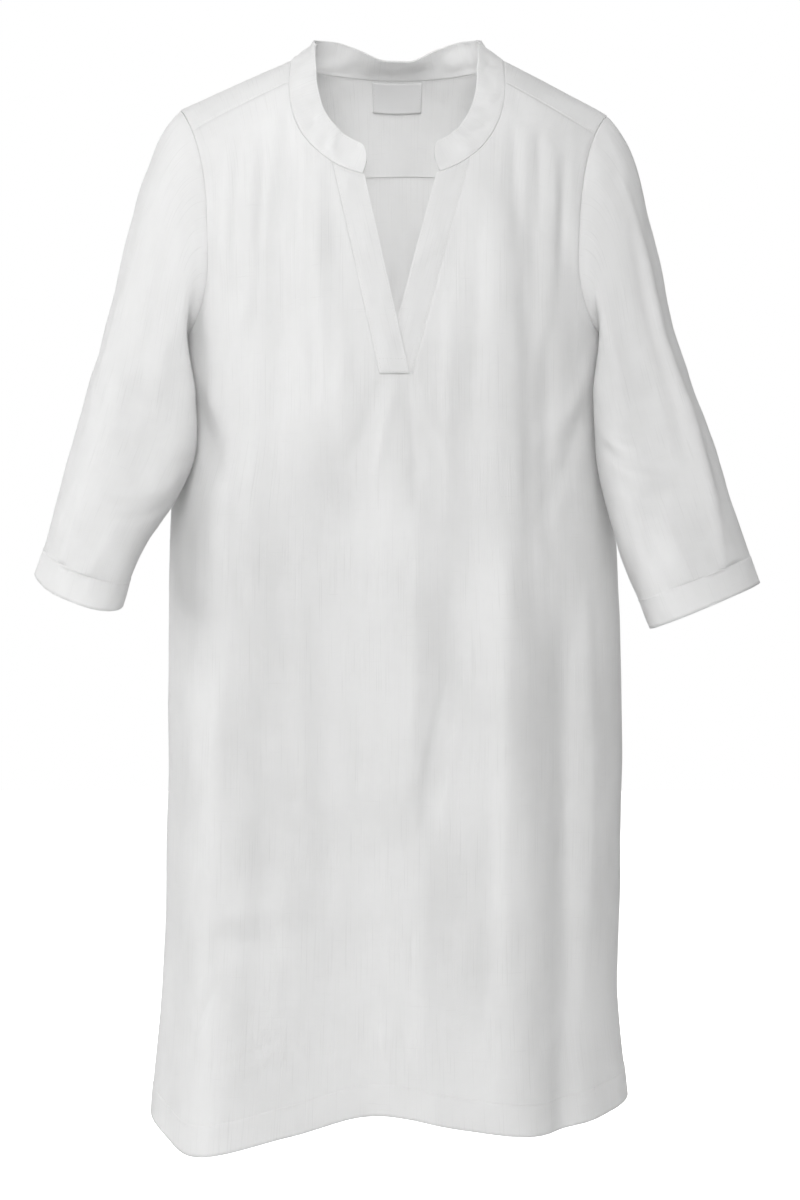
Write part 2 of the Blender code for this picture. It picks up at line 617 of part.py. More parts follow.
def sleeve_place(side, rings, folds):
    """Make the function that places the points of one sleeve's grid."""
    arm_rows = ARM_ROWS + 2

    def place(column, row):
        angle = 2 * math.pi * column / SLEEVE_COLUMNS - math.pi
        share = row / (CAP_ROWS + arm_rows)
        if row < CAP_ROWS:
            along = row / CAP_ROWS
            point = cap_point(side, rings, along, angle)
            weight = smooth(along / CAP_CLEAR_SHARE)
        else:
            below = row - CAP_ROWS
            hem_start = 1.0 - HEM_DEPTH / SLEEVE_ARM_LENGTH
            spots = [hem_start * step / ARM_ROWS for step in range(ARM_ROWS)]
            spots += [hem_start - HEM_STEP / SLEEVE_ARM_LENGTH, hem_start, 1.0]
            point = sleeve_ring_point(side, rings, spots[below], angle)
            weight = 1.0
        outward = Vector((side * math.cos(angle), math.sin(angle), 0.0))
        point += outward * sleeve_fold_out(folds, angle, share)
        return clear_of_body(point, side, weight)

    return place


def neckband_seam(share):
    """A point of the whole neck seam, from the left front end round the back to the right."""
    if share < BAND_FRONT_SHARE:
        turn = lerp(neck_front_turn(BAND_LEFT_END_X), 0.0, share / BAND_FRONT_SHARE)
        return torso(*place_at_height(*neck_front(-1, turn)), FRONT)
    if share > 1.0 - BAND_FRONT_SHARE:
        turn = lerp(neck_front_turn(BAND_RIGHT_END_X), 0.0, (1.0 - share) / BAND_FRONT_SHARE)
        return torso(*place_at_height(*neck_front(1, turn)), FRONT)
    return torso(*neck_seam((share - BAND_FRONT_SHARE) / (1.0 - 2 * BAND_FRONT_SHARE)))


def neckband_place(column, row):
    """A grid point of the band collar, which stands on the neck seam and leans inwards."""
    share = column / BAND_COLUMNS
    seam = neckband_seam(share)
    before = neckband_seam(max(share - STEP_ALONG, 0.0))
    after = neckband_seam(min(share + STEP_ALONG, 1.0))
    along = (after - before).normalized()
    near_end = min(share, 1.0 - share)
    lean = math.radians(table_value(BAND_LINE, "at", "lean", near_end))
    full = table_value(BAND_LINE, "at", "height", near_end)
    inward = Vector((NECK_CENTRE_X - seam.x, -seam.y, 0.0)).normalized()
    rise = Vector((0, 0, math.cos(lean))) + inward * math.sin(lean)
    rise = (rise - along * rise.dot(along)).normalized()
    from_end = near_end * BAND_LENGTH
    corner = min(1.0, from_end / BAND_END_ROUND)
    height = lerp(BAND_END_HEIGHT, full, math.sqrt(1.0 - (1.0 - corner) ** 2))
    return seam + rise * (BAND_LIFT + height * row / BAND_ROWS)


def facing_place(side):
    """Make the function that places the grid of one facing band beside the slit."""

    def place(column, row):
        inward = -side * (SEAM_GAP / 2 + FACING_WIDTH * column / FACING_COLUMNS)
        z = SLIT_BOTTOM_Z
        for _ in range(SETTLE_TURNS):
            x = slit_edge(side, z) + inward
            _, top = neck_front(side, neck_front_turn(x))
            z = lerp(SLIT_BOTTOM_Z, top - NECK_EDGE_TRIM, row / FACING_ROWS)
        lap = LAP_OFFSET * smooth((z - LAP_START_Z) / (LAP_FULL_Z - LAP_START_Z))
        return torso(*place_at_height(x, z), FRONT, out=-side * lap)

    return place


def label_place(column, row):
    """A grid point of the bare label, which lies on the inside of the yoke below the neck seam."""
    x = LABEL_X + LABEL_WIDTH * (column / LABEL_COLUMNS - 0.5)
    angle = math.acos((NECK_CENTRE_X - x) / NECK_HALF_WIDTH)
    place, climb = place_at_depth(x, RIDGE_Y + BACK_NECK_Y * math.sin(angle))
    below = LABEL_START + LABEL_HEIGHT * row / LABEL_ROWS
    inside = CLOTH / 2 + LABEL_CLOTH / 2 + LABEL_GAP
    return torso(place, climb - below / LABEL_ARCH_RADIUS, BACK, out=-inside)


def skirt_hem_thickness(row):
    """Thickness share of a panel's row: the turned hem is thicker than the cloth above it."""
    return HEM_CLOTH / CLOTH if row <= 1 else 1.0


def cuff_hem_thickness(row):
    """Thickness share of a sleeve's row, counted from the armhole down."""
    return HEM_CLOTH / CLOTH if row >= CAP_ROWS + ARM_ROWS + 1 else 1.0


def cloth_material(name, colour):
    """Plain woven cloth: matt, with no metal."""
    material = bpy.data.materials.new(name)
    material.use_nodes = True
    shader = material.node_tree.nodes["Principled BSDF"]
    shader.inputs["Base Color"].default_value = colour
    shader.inputs["Roughness"].default_value = 0.85
    shader.inputs["Metallic"].default_value = 0.0
    return material


def cloth_piece(collection, name, columns, rows, place, keep=None, thickness=None, closed=False,
                cloth=CLOTH, colour=LINEN):
    """A wall of cloth on a grid. place puts each grid point, keep says which cells are cloth."""
    mesh = bmesh.new()
    layer = mesh.verts.layers.deform.verify()
    bmesh.ops.create_grid(mesh, x_segments=columns, y_segments=rows, size=0.5)
    spot = {vertex: (round((vertex.co.x + 0.5) * columns), round((vertex.co.y + 0.5) * rows))
            for vertex in mesh.verts}
    if keep:
        cut = [face for face in mesh.faces if not keep(min(spot[v][0] for v in face.verts),
                                                       min(spot[v][1] for v in face.verts))]
        bmesh.ops.delete(mesh, geom=cut, context="FACES")
    for vertex in mesh.verts:
        column, row = spot[vertex]
        vertex.co = place(column, row)
        vertex[layer][0] = (thickness(row) if thickness else 1.0) * CLOTH / HEM_CLOTH
    if closed:
        bmesh.ops.remove_doubles(mesh, verts=mesh.verts, dist=WELD)
    data = bpy.data.meshes.new(name)
    mesh.to_mesh(data)
    mesh.free()
    data.materials.append(cloth_material(name, colour))
    data.shade_smooth()
    piece = bpy.data.objects.new(name, data)
    collection.objects.link(piece)
    piece.vertex_groups.new(name="thickness")
    wall = piece.modifiers.new("cloth", "SOLIDIFY")
    wall.thickness = cloth * HEM_CLOTH / CLOTH
    wall.offset = 0.0
    wall.vertex_group = "thickness"
    return piece


def front_panel(collection):
    """The front, from the forward shoulder seams to the hem, slit at the neck."""
    cloth_piece(collection, "front_panel", FRONT_COLUMNS, SKIRT_ROWS + SLIT_ROWS + NECK_ROWS,
                front_place, keep=front_keep, thickness=skirt_hem_thickness)


def back_panel(collection):
    """The back, from the back yoke seam to the hem."""
    cloth_piece(collection, "back_panel", BACK_COLUMNS, SKIRT_ROWS + ARMHOLE_ROWS + BACK_HIGH_ROWS,
                back_place, keep=back_keep, thickness=skirt_hem_thickness)


def yoke(collection):
    """The yoke, across the upper back and over both shoulders."""
    cloth_piece(collection, "yoke", 2 * YOKE_WING_COLUMNS + YOKE_BACK_COLUMNS, YOKE_ROWS, yoke_place)


def sleeves(collection):
    """The two three-quarter sleeves, with turned cuff hems."""
    rows = CAP_ROWS + ARM_ROWS + 2
    for name, side, rings, folds in (("sleeve_left", -1, LEFT_SLEEVE, LEFT_SLEEVE_FOLDS),
                                     ("sleeve_right", 1, RIGHT_SLEEVE, RIGHT_SLEEVE_FOLDS)):
        cloth_piece(collection, name, SLEEVE_COLUMNS, rows, sleeve_place(side, rings, folds),
                    thickness=cuff_hem_thickness, closed=True)


def neckband(collection):
    """The low band collar, open at the front."""
    cloth_piece(collection, "neckband", BAND_COLUMNS, BAND_ROWS, neckband_place)


def plackets(collection):
    """The facing bands down both edges of the slit. The left one laps over the right."""
    for name, side in (("placket_left", -1), ("placket_right", 1)):
        cloth_piece(collection, name, FACING_COLUMNS, FACING_ROWS, facing_place(side))


def neck_label(collection):
    """The bare label inside the back of the neck."""
    cloth_piece(collection, "neck_label", LABEL_COLUMNS, LABEL_ROWS, label_place,
                cloth=LABEL_CLOTH, colour=LABEL_SATIN)


def main():
    """Clear the scene and make every piece of the dress."""
    for thing in list(bpy.data.objects):
        bpy.data.objects.remove(thing, do_unlink=True)
    collection = bpy.data.collections.new(OBJECT_NAME)
    bpy.context.scene.collection.children.link(collection)
    front_panel(collection)
    back_panel(collection)
    yoke(collection)
    sleeves(collection)
    neckband(collection)
    plackets(collection)
    neck_label(collection)


main()
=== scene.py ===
"""Looks of the white linen tunic dress: its cloth shells, sewing, label, finishes and studio.

Metres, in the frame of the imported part: +Z up, the front faces -Y and +X is the viewer's right.
Each cloth shell lies on the form of the solid that it replaces. The torso is one curved surface.
A point of it is named by its column, from -1 at the left side seam to 1 at the right, and by its
climb: metres below the underarm when negative, the arch angle in radians when positive.
"""

from __future__ import annotations

import functools
import logging
import math
from dataclasses import dataclass, field
from enum import Enum
from typing import Callable, Iterable, Sequence

import bmesh
import bpy
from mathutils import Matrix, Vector, noise
from mathutils.bvhtree import BVHTree
from mathutils.kdtree import KDTree


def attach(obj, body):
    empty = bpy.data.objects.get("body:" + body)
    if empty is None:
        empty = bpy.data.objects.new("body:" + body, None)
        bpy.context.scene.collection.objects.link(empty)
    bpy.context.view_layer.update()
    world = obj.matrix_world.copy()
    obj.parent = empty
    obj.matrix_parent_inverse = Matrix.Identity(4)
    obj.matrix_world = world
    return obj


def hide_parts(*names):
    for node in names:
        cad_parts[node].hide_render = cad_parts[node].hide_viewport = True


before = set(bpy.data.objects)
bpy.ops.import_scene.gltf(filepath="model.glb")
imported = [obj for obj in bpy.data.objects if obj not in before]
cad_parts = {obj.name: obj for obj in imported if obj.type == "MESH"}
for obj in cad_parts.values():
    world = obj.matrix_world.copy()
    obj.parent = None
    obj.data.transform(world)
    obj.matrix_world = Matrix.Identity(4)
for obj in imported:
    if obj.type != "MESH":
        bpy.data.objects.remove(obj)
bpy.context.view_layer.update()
BODY = "root"
LOG = logging.getLogger("tunic_dress")

QUARTER_TURN = math.pi / 2
SEAM_GAP = 0.0003
SETTLE_TURNS = 8
UNDERARM_Z = -0.270


class Face(Enum):
    """The two sides of the dress, with the sign of y on each."""

    FRONT = -1
    BACK = 1


class Side(Enum):
    """Left and right as the viewer sees them, with the sign of x on each."""

    LEFT = -1
    RIGHT = 1


def lerp(start: float, end: float, share: float) -> float:
    """Value a share of the way from start to end."""
    return start + (end - start) * share


def smooth(share: float) -> float:
    """Share eased at both ends, held between 0 and 1."""
    share = min(max(share, 0.0), 1.0)
    return share * share * (3.0 - 2.0 * share)


def table(kind: Callable, rows: Iterable[tuple]) -> tuple:
    """Read rows of sizes, each in the order of the kind's fields."""
    return tuple(kind(*row) for row in rows)


@dataclass(frozen=True)
class SmoothTable:
    """One column of a table, read between its rows along a smooth curve."""

    spots: tuple[float, ...]
    values: tuple[float, ...]

    @classmethod
    def read(cls, rows: Iterable[object], key: str, name: str) -> SmoothTable:
        """Take a column from a table.

        Args:
            rows: The table's rows.
            key: Name of the field that orders the rows.
            name: Name of the field to read.

        Returns:
            The column, ordered by its key.
        """
        ordered = sorted(rows, key=lambda row: getattr(row, key))
        return cls(tuple(getattr(row, key) for row in ordered),
                   tuple(getattr(row, name) for row in ordered))

    def slope(self, index: int) -> float:
        """Slope of the curve at a row."""
        before, after = max(index - 1, 0), min(index + 1, len(self.spots) - 1)
        return (self.values[after] - self.values[before]) / (self.spots[after] - self.spots[before])

    def at(self, place: float) -> float:
        """Value of the column at a place, held at its end rows."""
        place = min(max(place, self.spots[0]), self.spots[-1])
        low = 0
        while low < len(self.spots) - 2 and self.spots[low + 1] <= place:
            low += 1
        span = self.spots[low + 1] - self.spots[low]
        share = (place - self.spots[low]) / span
        bend_in = self.slope(low) * span * share * (1.0 - share) ** 2
        bend_out = self.slope(low + 1) * span * share**2 * (1.0 - share)
        return lerp(self.values[low], self.values[low + 1], smooth(share)) + bend_in - bend_out


@dataclass(frozen=True)
class Section:
    """Half-widths and depths of the body ring at one height."""

    z: float
    left: float
    right: float
    front: float
    back: float


@dataclass(frozen=True)
class HemSpot:
    """Height of the hem at one place across the front and the back."""

    across: float
    front: float
    back: float


@dataclass(frozen=True)
class Fold:
    """A long fold: its place across the panel at top and bottom, width, reach and where it fades."""

    top_x: float
    bottom_x: float
    width: float
    out: float
    top_z: float
    bottom_z: float


@dataclass(frozen=True)
class SleeveRing:
    """One ring of a sleeve, from 0 at the upper arm to 1 at the cuff."""

    at: float
    x: float
    y: float
    z: float
    half_width: float
    half_depth: float
    tilt: float
    lip: float


@dataclass(frozen=True)
class SleeveFold:
    """A long fold of a sleeve: angle round it, width in radians, reach and where it fades."""

    angle: float
    width: float
    out: float
    top: float
    bottom: float


@dataclass(frozen=True)
class BandSpot:
    """Lean and height of the band collar at a share of its length from the nearer front end."""

    at: float
    lean: float
    height: float


@dataclass(frozen=True)
class Crease:
    """A soft trough or ridge between two places of a piece's chart, in metres."""

    start: tuple[float, float]
    end: tuple[float, float]
    width: float
    out: float
    bow: float = 0.0
    sharp: bool = False

    def push(self, across: float, along: float) -> float:
        """How far the crease pushes the cloth out.

        Args:
            across: Place across the piece.
            along: Place along the piece.

        Returns:
            The push along the cloth's outward normal, in metres.
        """
        run_x, run_y = self.end[0] - self.start[0], self.end[1] - self.start[1]
        length = math.hypot(run_x, run_y)
        away_x, away_y = across - self.start[0], along - self.start[1]
        share = (away_x * run_x + away_y * run_y) / length**2
        if not 0.0 < share < 1.0:
            return 0.0
        arch = math.sin(math.pi * share)
        off = (away_x * run_y - away_y * run_x) / length - self.bow * arch
        reach = abs(off) / self.width
        if reach > 3.0:
            return 0.0
        profile = math.exp(-1.4 * reach) if self.sharp else math.exp(-reach * reach)
        return self.out * math.sqrt(arch) * profile


SECTIONS = (
    Section(z=-0.270, left=0.198, right=0.198, front=0.122, back=0.112),
    Section(z=-0.340, left=0.199, right=0.199, front=0.124, back=0.108),
    Section(z=-0.420, left=0.206, right=0.205, front=0.124, back=0.106),
    Section(z=-0.520, left=0.208, right=0.209, front=0.124, back=0.112),
    Section(z=-0.640, left=0.208, right=0.211, front=0.127, back=0.122),
    Section(z=-0.760, left=0.210, right=0.209, front=0.131, back=0.130),
    Section(z=-0.860, left=0.215, right=0.207, front=0.135, back=0.135),
    Section(z=-0.990, left=0.226, right=0.220, front=0.140, back=0.140),
)
HEM_LINE = (
    HemSpot(across=-1.00, front=-0.973, back=-0.973),
    HemSpot(across=-0.78, front=-0.990, back=-0.980),
    HemSpot(across=-0.42, front=-0.970, back=-0.968),
    HemSpot(across=-0.05, front=-0.950, back=-0.962),
    HemSpot(across=0.30, front=-0.961, back=-0.966),
    HemSpot(across=0.66, front=-0.968, back=-0.972),
    HemSpot(across=1.00, front=-0.957, back=-0.957),
)
FOLDS = {
    Face.FRONT: table(Fold, (
        (-0.140, -0.150, 0.018, 0.0050, -0.075, -0.300),
        (-0.102, -0.108, 0.017, -0.0070, -0.070, -0.470),
        (-0.072, -0.066, 0.014, 0.0050, -0.060, -0.330),
        (-0.062, -0.040, 0.010, -0.0040, -0.125, -0.280),
        (0.000, -0.010, 0.024, 0.0050, -0.315, -0.760),
        (0.062, 0.030, 0.016, -0.0060, -0.420, -0.760),
        (0.090, 0.095, 0.020, 0.0055, -0.090, -0.700),
        (0.120, 0.118, 0.011, -0.0045, -0.080, -0.330),
        (0.148, 0.150, 0.012, -0.0060, -0.090, -0.260),
        (-0.146, -0.158, 0.034, 0.0210, -0.330, -1.400),
        (-0.048, -0.040, 0.054, -0.0190, -0.330, -1.400),
        (0.102, 0.110, 0.030, 0.0140, -0.440, -1.400),
        (0.150, 0.152, 0.016, -0.0050, -0.440, -1.250),
    )),
    Face.BACK: table(Fold, (
        (-0.060, -0.080, 0.022, 0.0060, -0.100, -0.620),
        (-0.018, -0.022, 0.018, -0.0060, -0.105, -0.700),
        (0.026, 0.030, 0.018, 0.0055, -0.100, -0.740),
        (0.075, 0.070, 0.020, -0.0060, -0.110, -0.560),
        (0.140, 0.120, 0.022, 0.0060, -0.120, -0.420),
        (-0.125, -0.130, 0.020, -0.0060, -0.120, -0.460),
        (-0.150, -0.158, 0.030, 0.0120, -0.520, -1.250),
        (-0.075, -0.085, 0.034, -0.0120, -0.560, -1.250),
        (0.000, 0.005, 0.034, 0.0110, -0.640, -1.250),
        (0.082, 0.088, 0.032, -0.0130, -0.540, -1.250),
        (0.150, 0.160, 0.028, 0.0110, -0.500, -1.250),
    )),
}
FOLD_FADE = 0.11
SLEEVE_RINGS = {
    Side.LEFT: table(SleeveRing, (
        (0.00, 0.223, -0.022, -0.300, 0.058, 0.056, 17, 0.0),
        (0.22, 0.230, -0.044, -0.345, 0.061, 0.053, 17, 0.0),
        (0.46, 0.246, -0.064, -0.395, 0.055, 0.051, 18, 0.002),
        (0.66, 0.261, -0.073, -0.431, 0.047, 0.049, 20, 0.004),
        (0.83, 0.272, -0.080, -0.462, 0.044, 0.047, 20, 0.008),
        (1.00, 0.280, -0.084, -0.490, 0.0445, 0.045, 20, 0.012),
    )),
    Side.RIGHT: table(SleeveRing, (
        (0.00, 0.220, -0.020, -0.297, 0.053, 0.056, 17, 0.0),
        (0.22, 0.229, -0.041, -0.340, 0.056, 0.054, 17, 0.0),
        (0.46, 0.240, -0.063, -0.388, 0.058, 0.052, 18, 0.0),
        (0.66, 0.253, -0.073, -0.435, 0.058, 0.050, 19, 0.0),
        (0.83, 0.266, -0.080, -0.474, 0.057, 0.048, 20, 0.0),
        (1.00, 0.277, -0.084, -0.505, 0.056, 0.046, 21, 0.0),
    )),
}
SLEEVE_FOLDS = {
    Side.LEFT: table(SleeveFold, (
        (-1.9, 0.34, -0.0050, 0.20, 0.75),
        (-1.1, 0.30, 0.0040, 0.25, 0.90),
        (1.2, 0.36, -0.0050, 0.25, 0.85),
        (2.2, 0.34, 0.0040, 0.30, 0.80),
    )),
    Side.RIGHT: table(SleeveFold, (
        (-1.0, 0.26, 0.0050, 0.15, 0.95),
        (-1.7, 0.34, -0.0045, 0.30, 0.85),
        (1.1, 0.34, -0.0050, 0.25, 0.85),
        (2.1, 0.34, 0.0045, 0.30, 0.80),
    )),
}
BAND_LINE = (
    BandSpot(at=0.00, lean=14, height=0.027),
    BandSpot(at=0.20, lean=35, height=0.027),
    BandSpot(at=0.30, lean=54, height=0.027),
    BandSpot(at=0.37, lean=31, height=0.0285),
    BandSpot(at=0.41, lean=27, height=0.0305),
    BandSpot(at=0.44, lean=38, height=0.0285),
    BandSpot(at=0.475, lean=57, height=0.0245),
    BandSpot(at=0.50, lean=60, height=0.024),
)


@dataclass(frozen=True)
class TorsoForm:
    """The body of the dress as one curved surface, the same that its solids have."""

    neck_centre_x: float = 0.003
    neck_half_width: float = 0.0975
    left_shoulder_slope: float = 0.44
    right_shoulder_slope: float = 0.52
    neck_crown: float = 0.042
    armhole_column: float = 0.166
    shoulder_fan: float = 0.19
    fan_power: int = 4
    front_neck_top_z: float = -0.031
    front_neck_drop: float = 0.097
    neck_squareness: float = 2.2
    back_neck_y: float = 0.058
    slit_top_z: float = -0.119
    slit_bottom_z: float = -0.302
    slit_top_x: tuple[float, float] = (-0.053, 0.065)
    slit_bottom_x: tuple[float, float] = (-0.012, 0.017)
    front_yoke_slope: float = 0.53
    back_yoke_centre_climb: float = 0.62
    back_yoke_edge_climb: float = 0.88
    neck_edge_trim: float = 0.0004
    neck_wing_share: float = 0.17
    armhole_low_climb: float = 0.36
    armhole_round: float = 2.4
    hem_depth: float = 0.027
    hem_step: float = 0.0015
    side_seam_hold: float = 8.0

    def fan(self, arch: float) -> float:
        """How far a column has spread towards the shoulder point at an arch angle."""
        return 1.0 + self.shoulder_fan * math.sin(arch) ** self.fan_power

    def ridge_z(self, x: float) -> float:
        """Height of the shoulder ridge above a place across the shoulders."""
        away = abs(x - self.neck_centre_x) / self.neck_half_width
        if away < 1.0:
            return self.neck_crown * (1.0 - away * away)
        slope = self.left_shoulder_slope if x < self.neck_centre_x else self.right_shoulder_slope
        return self.neck_half_width * (1.0 - away) * slope

    def ring_half(self, z: float, side: float, face: Face) -> tuple[float, float]:
        """Half-width on one side, and depth on one face, of the body ring at a height."""
        half_width = RING["left" if side < 0 else "right"].at(z)
        return half_width, RING[face.name.lower()].at(z)

    def fold_out(self, x: float, z: float, face: Face) -> float:
        """How far the long folds push the cloth out at a place of a panel."""
        total = 0.0
        for fold in FOLDS[face]:
            below_top = fold.top_z - z
            above_end = z - fold.bottom_z
            if below_top > 0.0 and above_end > 0.0:
                centre = lerp(fold.top_x, fold.bottom_x, below_top / (below_top + above_end))
                ends = smooth(below_top / FOLD_FADE) * smooth(above_end / FOLD_FADE)
                total += fold.out * ends * math.exp(-(((x - centre) / fold.width) ** 2))
        return total

    def point(self, column: float, climb: float, face: Face, out: float = 0.0) -> Vector:
        """A point of the torso.

        Args:
            column: Place across the face, from -1 to 1.
            climb: Metres below the underarm when negative, arch angle when positive.
            face: Front or back.
            out: Distance outwards from the cloth's middle.

        Returns:
            The point, in metres.
        """
        angle = column * QUARTER_TURN
        z = UNDERARM_Z + min(climb, 0.0)
        half_width, depth = self.ring_half(z, column, face)
        x = half_width * math.sin(angle)
        y = face.value * depth * math.cos(angle)
        normal = Vector((x / half_width**2, y / depth**2, 0.0)).normalized()
        if climb > 0.0:
            x *= self.fan(climb)
            y *= math.cos(climb)
            z = lerp(UNDERARM_Z, self.ridge_z(x), math.sin(climb))
            normal = (normal * math.cos(climb) + Vector((0, 0, math.sin(climb)))).normalized()
        hold = min(1.0, (1.0 - abs(column)) * self.side_seam_hold)
        return Vector((x, y, z)) + normal * (out + self.fold_out(x, z, face) * hold)

    def column_of(self, x: float, z: float = UNDERARM_Z) -> float:
        """The column whose ring point at a height is at x."""
        half_width, _ = self.ring_half(z, x, Face.FRONT)
        return math.asin(max(-1.0, min(1.0, x / half_width))) / QUARTER_TURN

    @functools.cached_property
    def armhole_edge(self) -> float:
        """Column of the armhole seam above its rounded foot."""
        return self.column_of(self.armhole_column)

    def at_height(self, x: float, z: float) -> tuple[float, float]:
        """Column and climb of the torso point at x and z."""
        if z <= UNDERARM_Z:
            return self.column_of(x, z), z - UNDERARM_Z
        arch = math.asin(min(1.0, (z - UNDERARM_Z) / (self.ridge_z(x) - UNDERARM_Z)))
        return self.column_of(x / self.fan(arch)), arch

    def at_depth(self, x: float, y: float) -> tuple[float, float]:
        """Column and climb of the back's point at x and y."""
        arch = 1.0
        for _ in range(SETTLE_TURNS):
            column = self.column_of(x / self.fan(arch))
            _, depth = self.ring_half(UNDERARM_Z, x, Face.BACK)
            reach = depth * math.cos(column * QUARTER_TURN)
            arch = math.acos(max(0.0, min(1.0, y / reach)))
        return column, arch

    def neck_front(self, side: int, turn: float) -> tuple[float, float]:
        """Front neck seam at a turn from 0 at the yoke seam to 1 at the centre front."""
        angle = turn * QUARTER_TURN
        x = self.neck_half_width * max(math.cos(angle), 0.0) ** (2 / self.neck_squareness)
        z = self.front_neck_top_z - self.front_neck_drop * math.sin(angle) ** (2 / self.neck_squareness)
        return self.neck_centre_x + side * x, z

    def neck_front_turn(self, x: float) -> float:
        """Turn of the front neck seam at a place x."""
        share = min(1.0, abs(x - self.neck_centre_x) / self.neck_half_width)
        return math.acos(share ** (self.neck_squareness / 2)) / QUARTER_TURN

    def slit_edge(self, side: int, z: float) -> float:
        """Where the panel ends and the facing band begins, beside the slit."""
        share = (z - self.slit_top_z) / (self.slit_bottom_z - self.slit_top_z)
        index = 0 if side < 0 else 1
        return lerp(self.slit_top_x[index], self.slit_bottom_x[index], share)

    @functools.cache
    def slit_top_turn(self, side: int) -> float:
        """Turn of the neck seam where the slit's edge meets it."""
        turn = 0.5
        for _ in range(SETTLE_TURNS):
            turn = self.neck_front_turn(self.slit_edge(side, self.neck_front(side, turn)[1]))
        return turn

    @functools.cached_property
    def front_yoke_climb(self) -> float:
        """Climb at which the front shoulder seam crosses the armhole."""
        climb = 1.0
        for _ in range(SETTLE_TURNS):
            x = self.armhole_column * self.fan(climb)
            drop = (abs(x - self.neck_centre_x) - self.neck_half_width) * self.front_yoke_slope
            _, climb = self.at_height(x, self.front_neck_top_z - drop)
        return climb

    def back_yoke_climb(self, column: float) -> float:
        """Climb of the back yoke seam: level across the back."""
        share = (abs(column) / self.armhole_edge) ** 2
        return lerp(self.back_yoke_centre_climb, self.back_yoke_edge_climb, share)

    def armhole_low(self, share: float) -> tuple[float, float]:
        """Column and climb of the armhole's rounded foot, from the underarm upwards."""
        angle = share * QUARTER_TURN
        column = lerp(1.0, self.armhole_edge, max(math.sin(angle), 0.0) ** (2 / self.armhole_round))
        rise = 1.0 - max(math.cos(angle), 0.0) ** (2 / self.armhole_round)
        return column, self.armhole_low_climb * rise

    def hem_z(self, column: float, face: Face) -> float:
        """Height of the hem under a column."""
        return HEM[face.name.lower()].at(math.sin(column * QUARTER_TURN))

    def neck_seam(self, share: float) -> tuple[float, float, Face]:
        """Column, climb and face of the neck seam, from the left yoke corner round the back."""
        if share > 0.5:
            column, climb, face = self.neck_seam(1.0 - share)
            spot = self.point(column, climb, face)
            mirrored = 2 * self.neck_centre_x - spot.x
            find = self.at_height if face is Face.FRONT else self.at_depth
            return find(mirrored, spot.z if face is Face.FRONT else spot.y) + (face,)
        if share < self.neck_wing_share:
            x = self.neck_centre_x - self.neck_half_width
            _, start = self.at_height(x, self.front_neck_top_z)
            arch = lerp(start, QUARTER_TURN, share / self.neck_wing_share)
            return self.column_of(x / self.fan(arch)), arch, Face.FRONT
        angle = math.pi * (share - self.neck_wing_share) / (1.0 - 2 * self.neck_wing_share)
        x = self.neck_centre_x - self.neck_half_width * math.cos(angle)
        return self.at_depth(x, self.back_neck_y * math.sin(angle)) + (Face.BACK,)


RING = {name: SmoothTable.read(SECTIONS, "z", name) for name in ("left", "right", "front", "back")}
HEM = {name: SmoothTable.read(HEM_LINE, "across", name) for name in ("front", "back")}
TORSO = TorsoForm()


@dataclass
class Shell:
    """A finished cloth shell: its object, its middle surface and its wall.

    The middle surface is a search tree whose normals point out of the dress.
    """

    piece: bpy.types.Object
    tree: BVHTree
    wall: float


def grid_lines(spans: Sequence[tuple[int, int]], seams: Sequence[float] = ()) -> list[float]:
    """Place the lines of a grid, closer together beside its seams.

    Args:
        spans: Pairs of whole cells and the steps that each is cut into, in order.
        seams: Places of the lines that need finer steps on both sides.

    Returns:
        The sorted places of the lines, in cells.
    """
    lines, start = {0.0}, 0
    for cells, steps in spans:
        lines |= {start + step / steps for step in range(cells * steps + 1)}
        start += cells
    for seam in seams:
        lines |= {seam + sign * near for near in (0.04, 0.10, 0.17) for sign in (-1, 1)
                  if 0.0 < seam + sign * near < start}
    return sorted({round(line, 4) for line in lines})


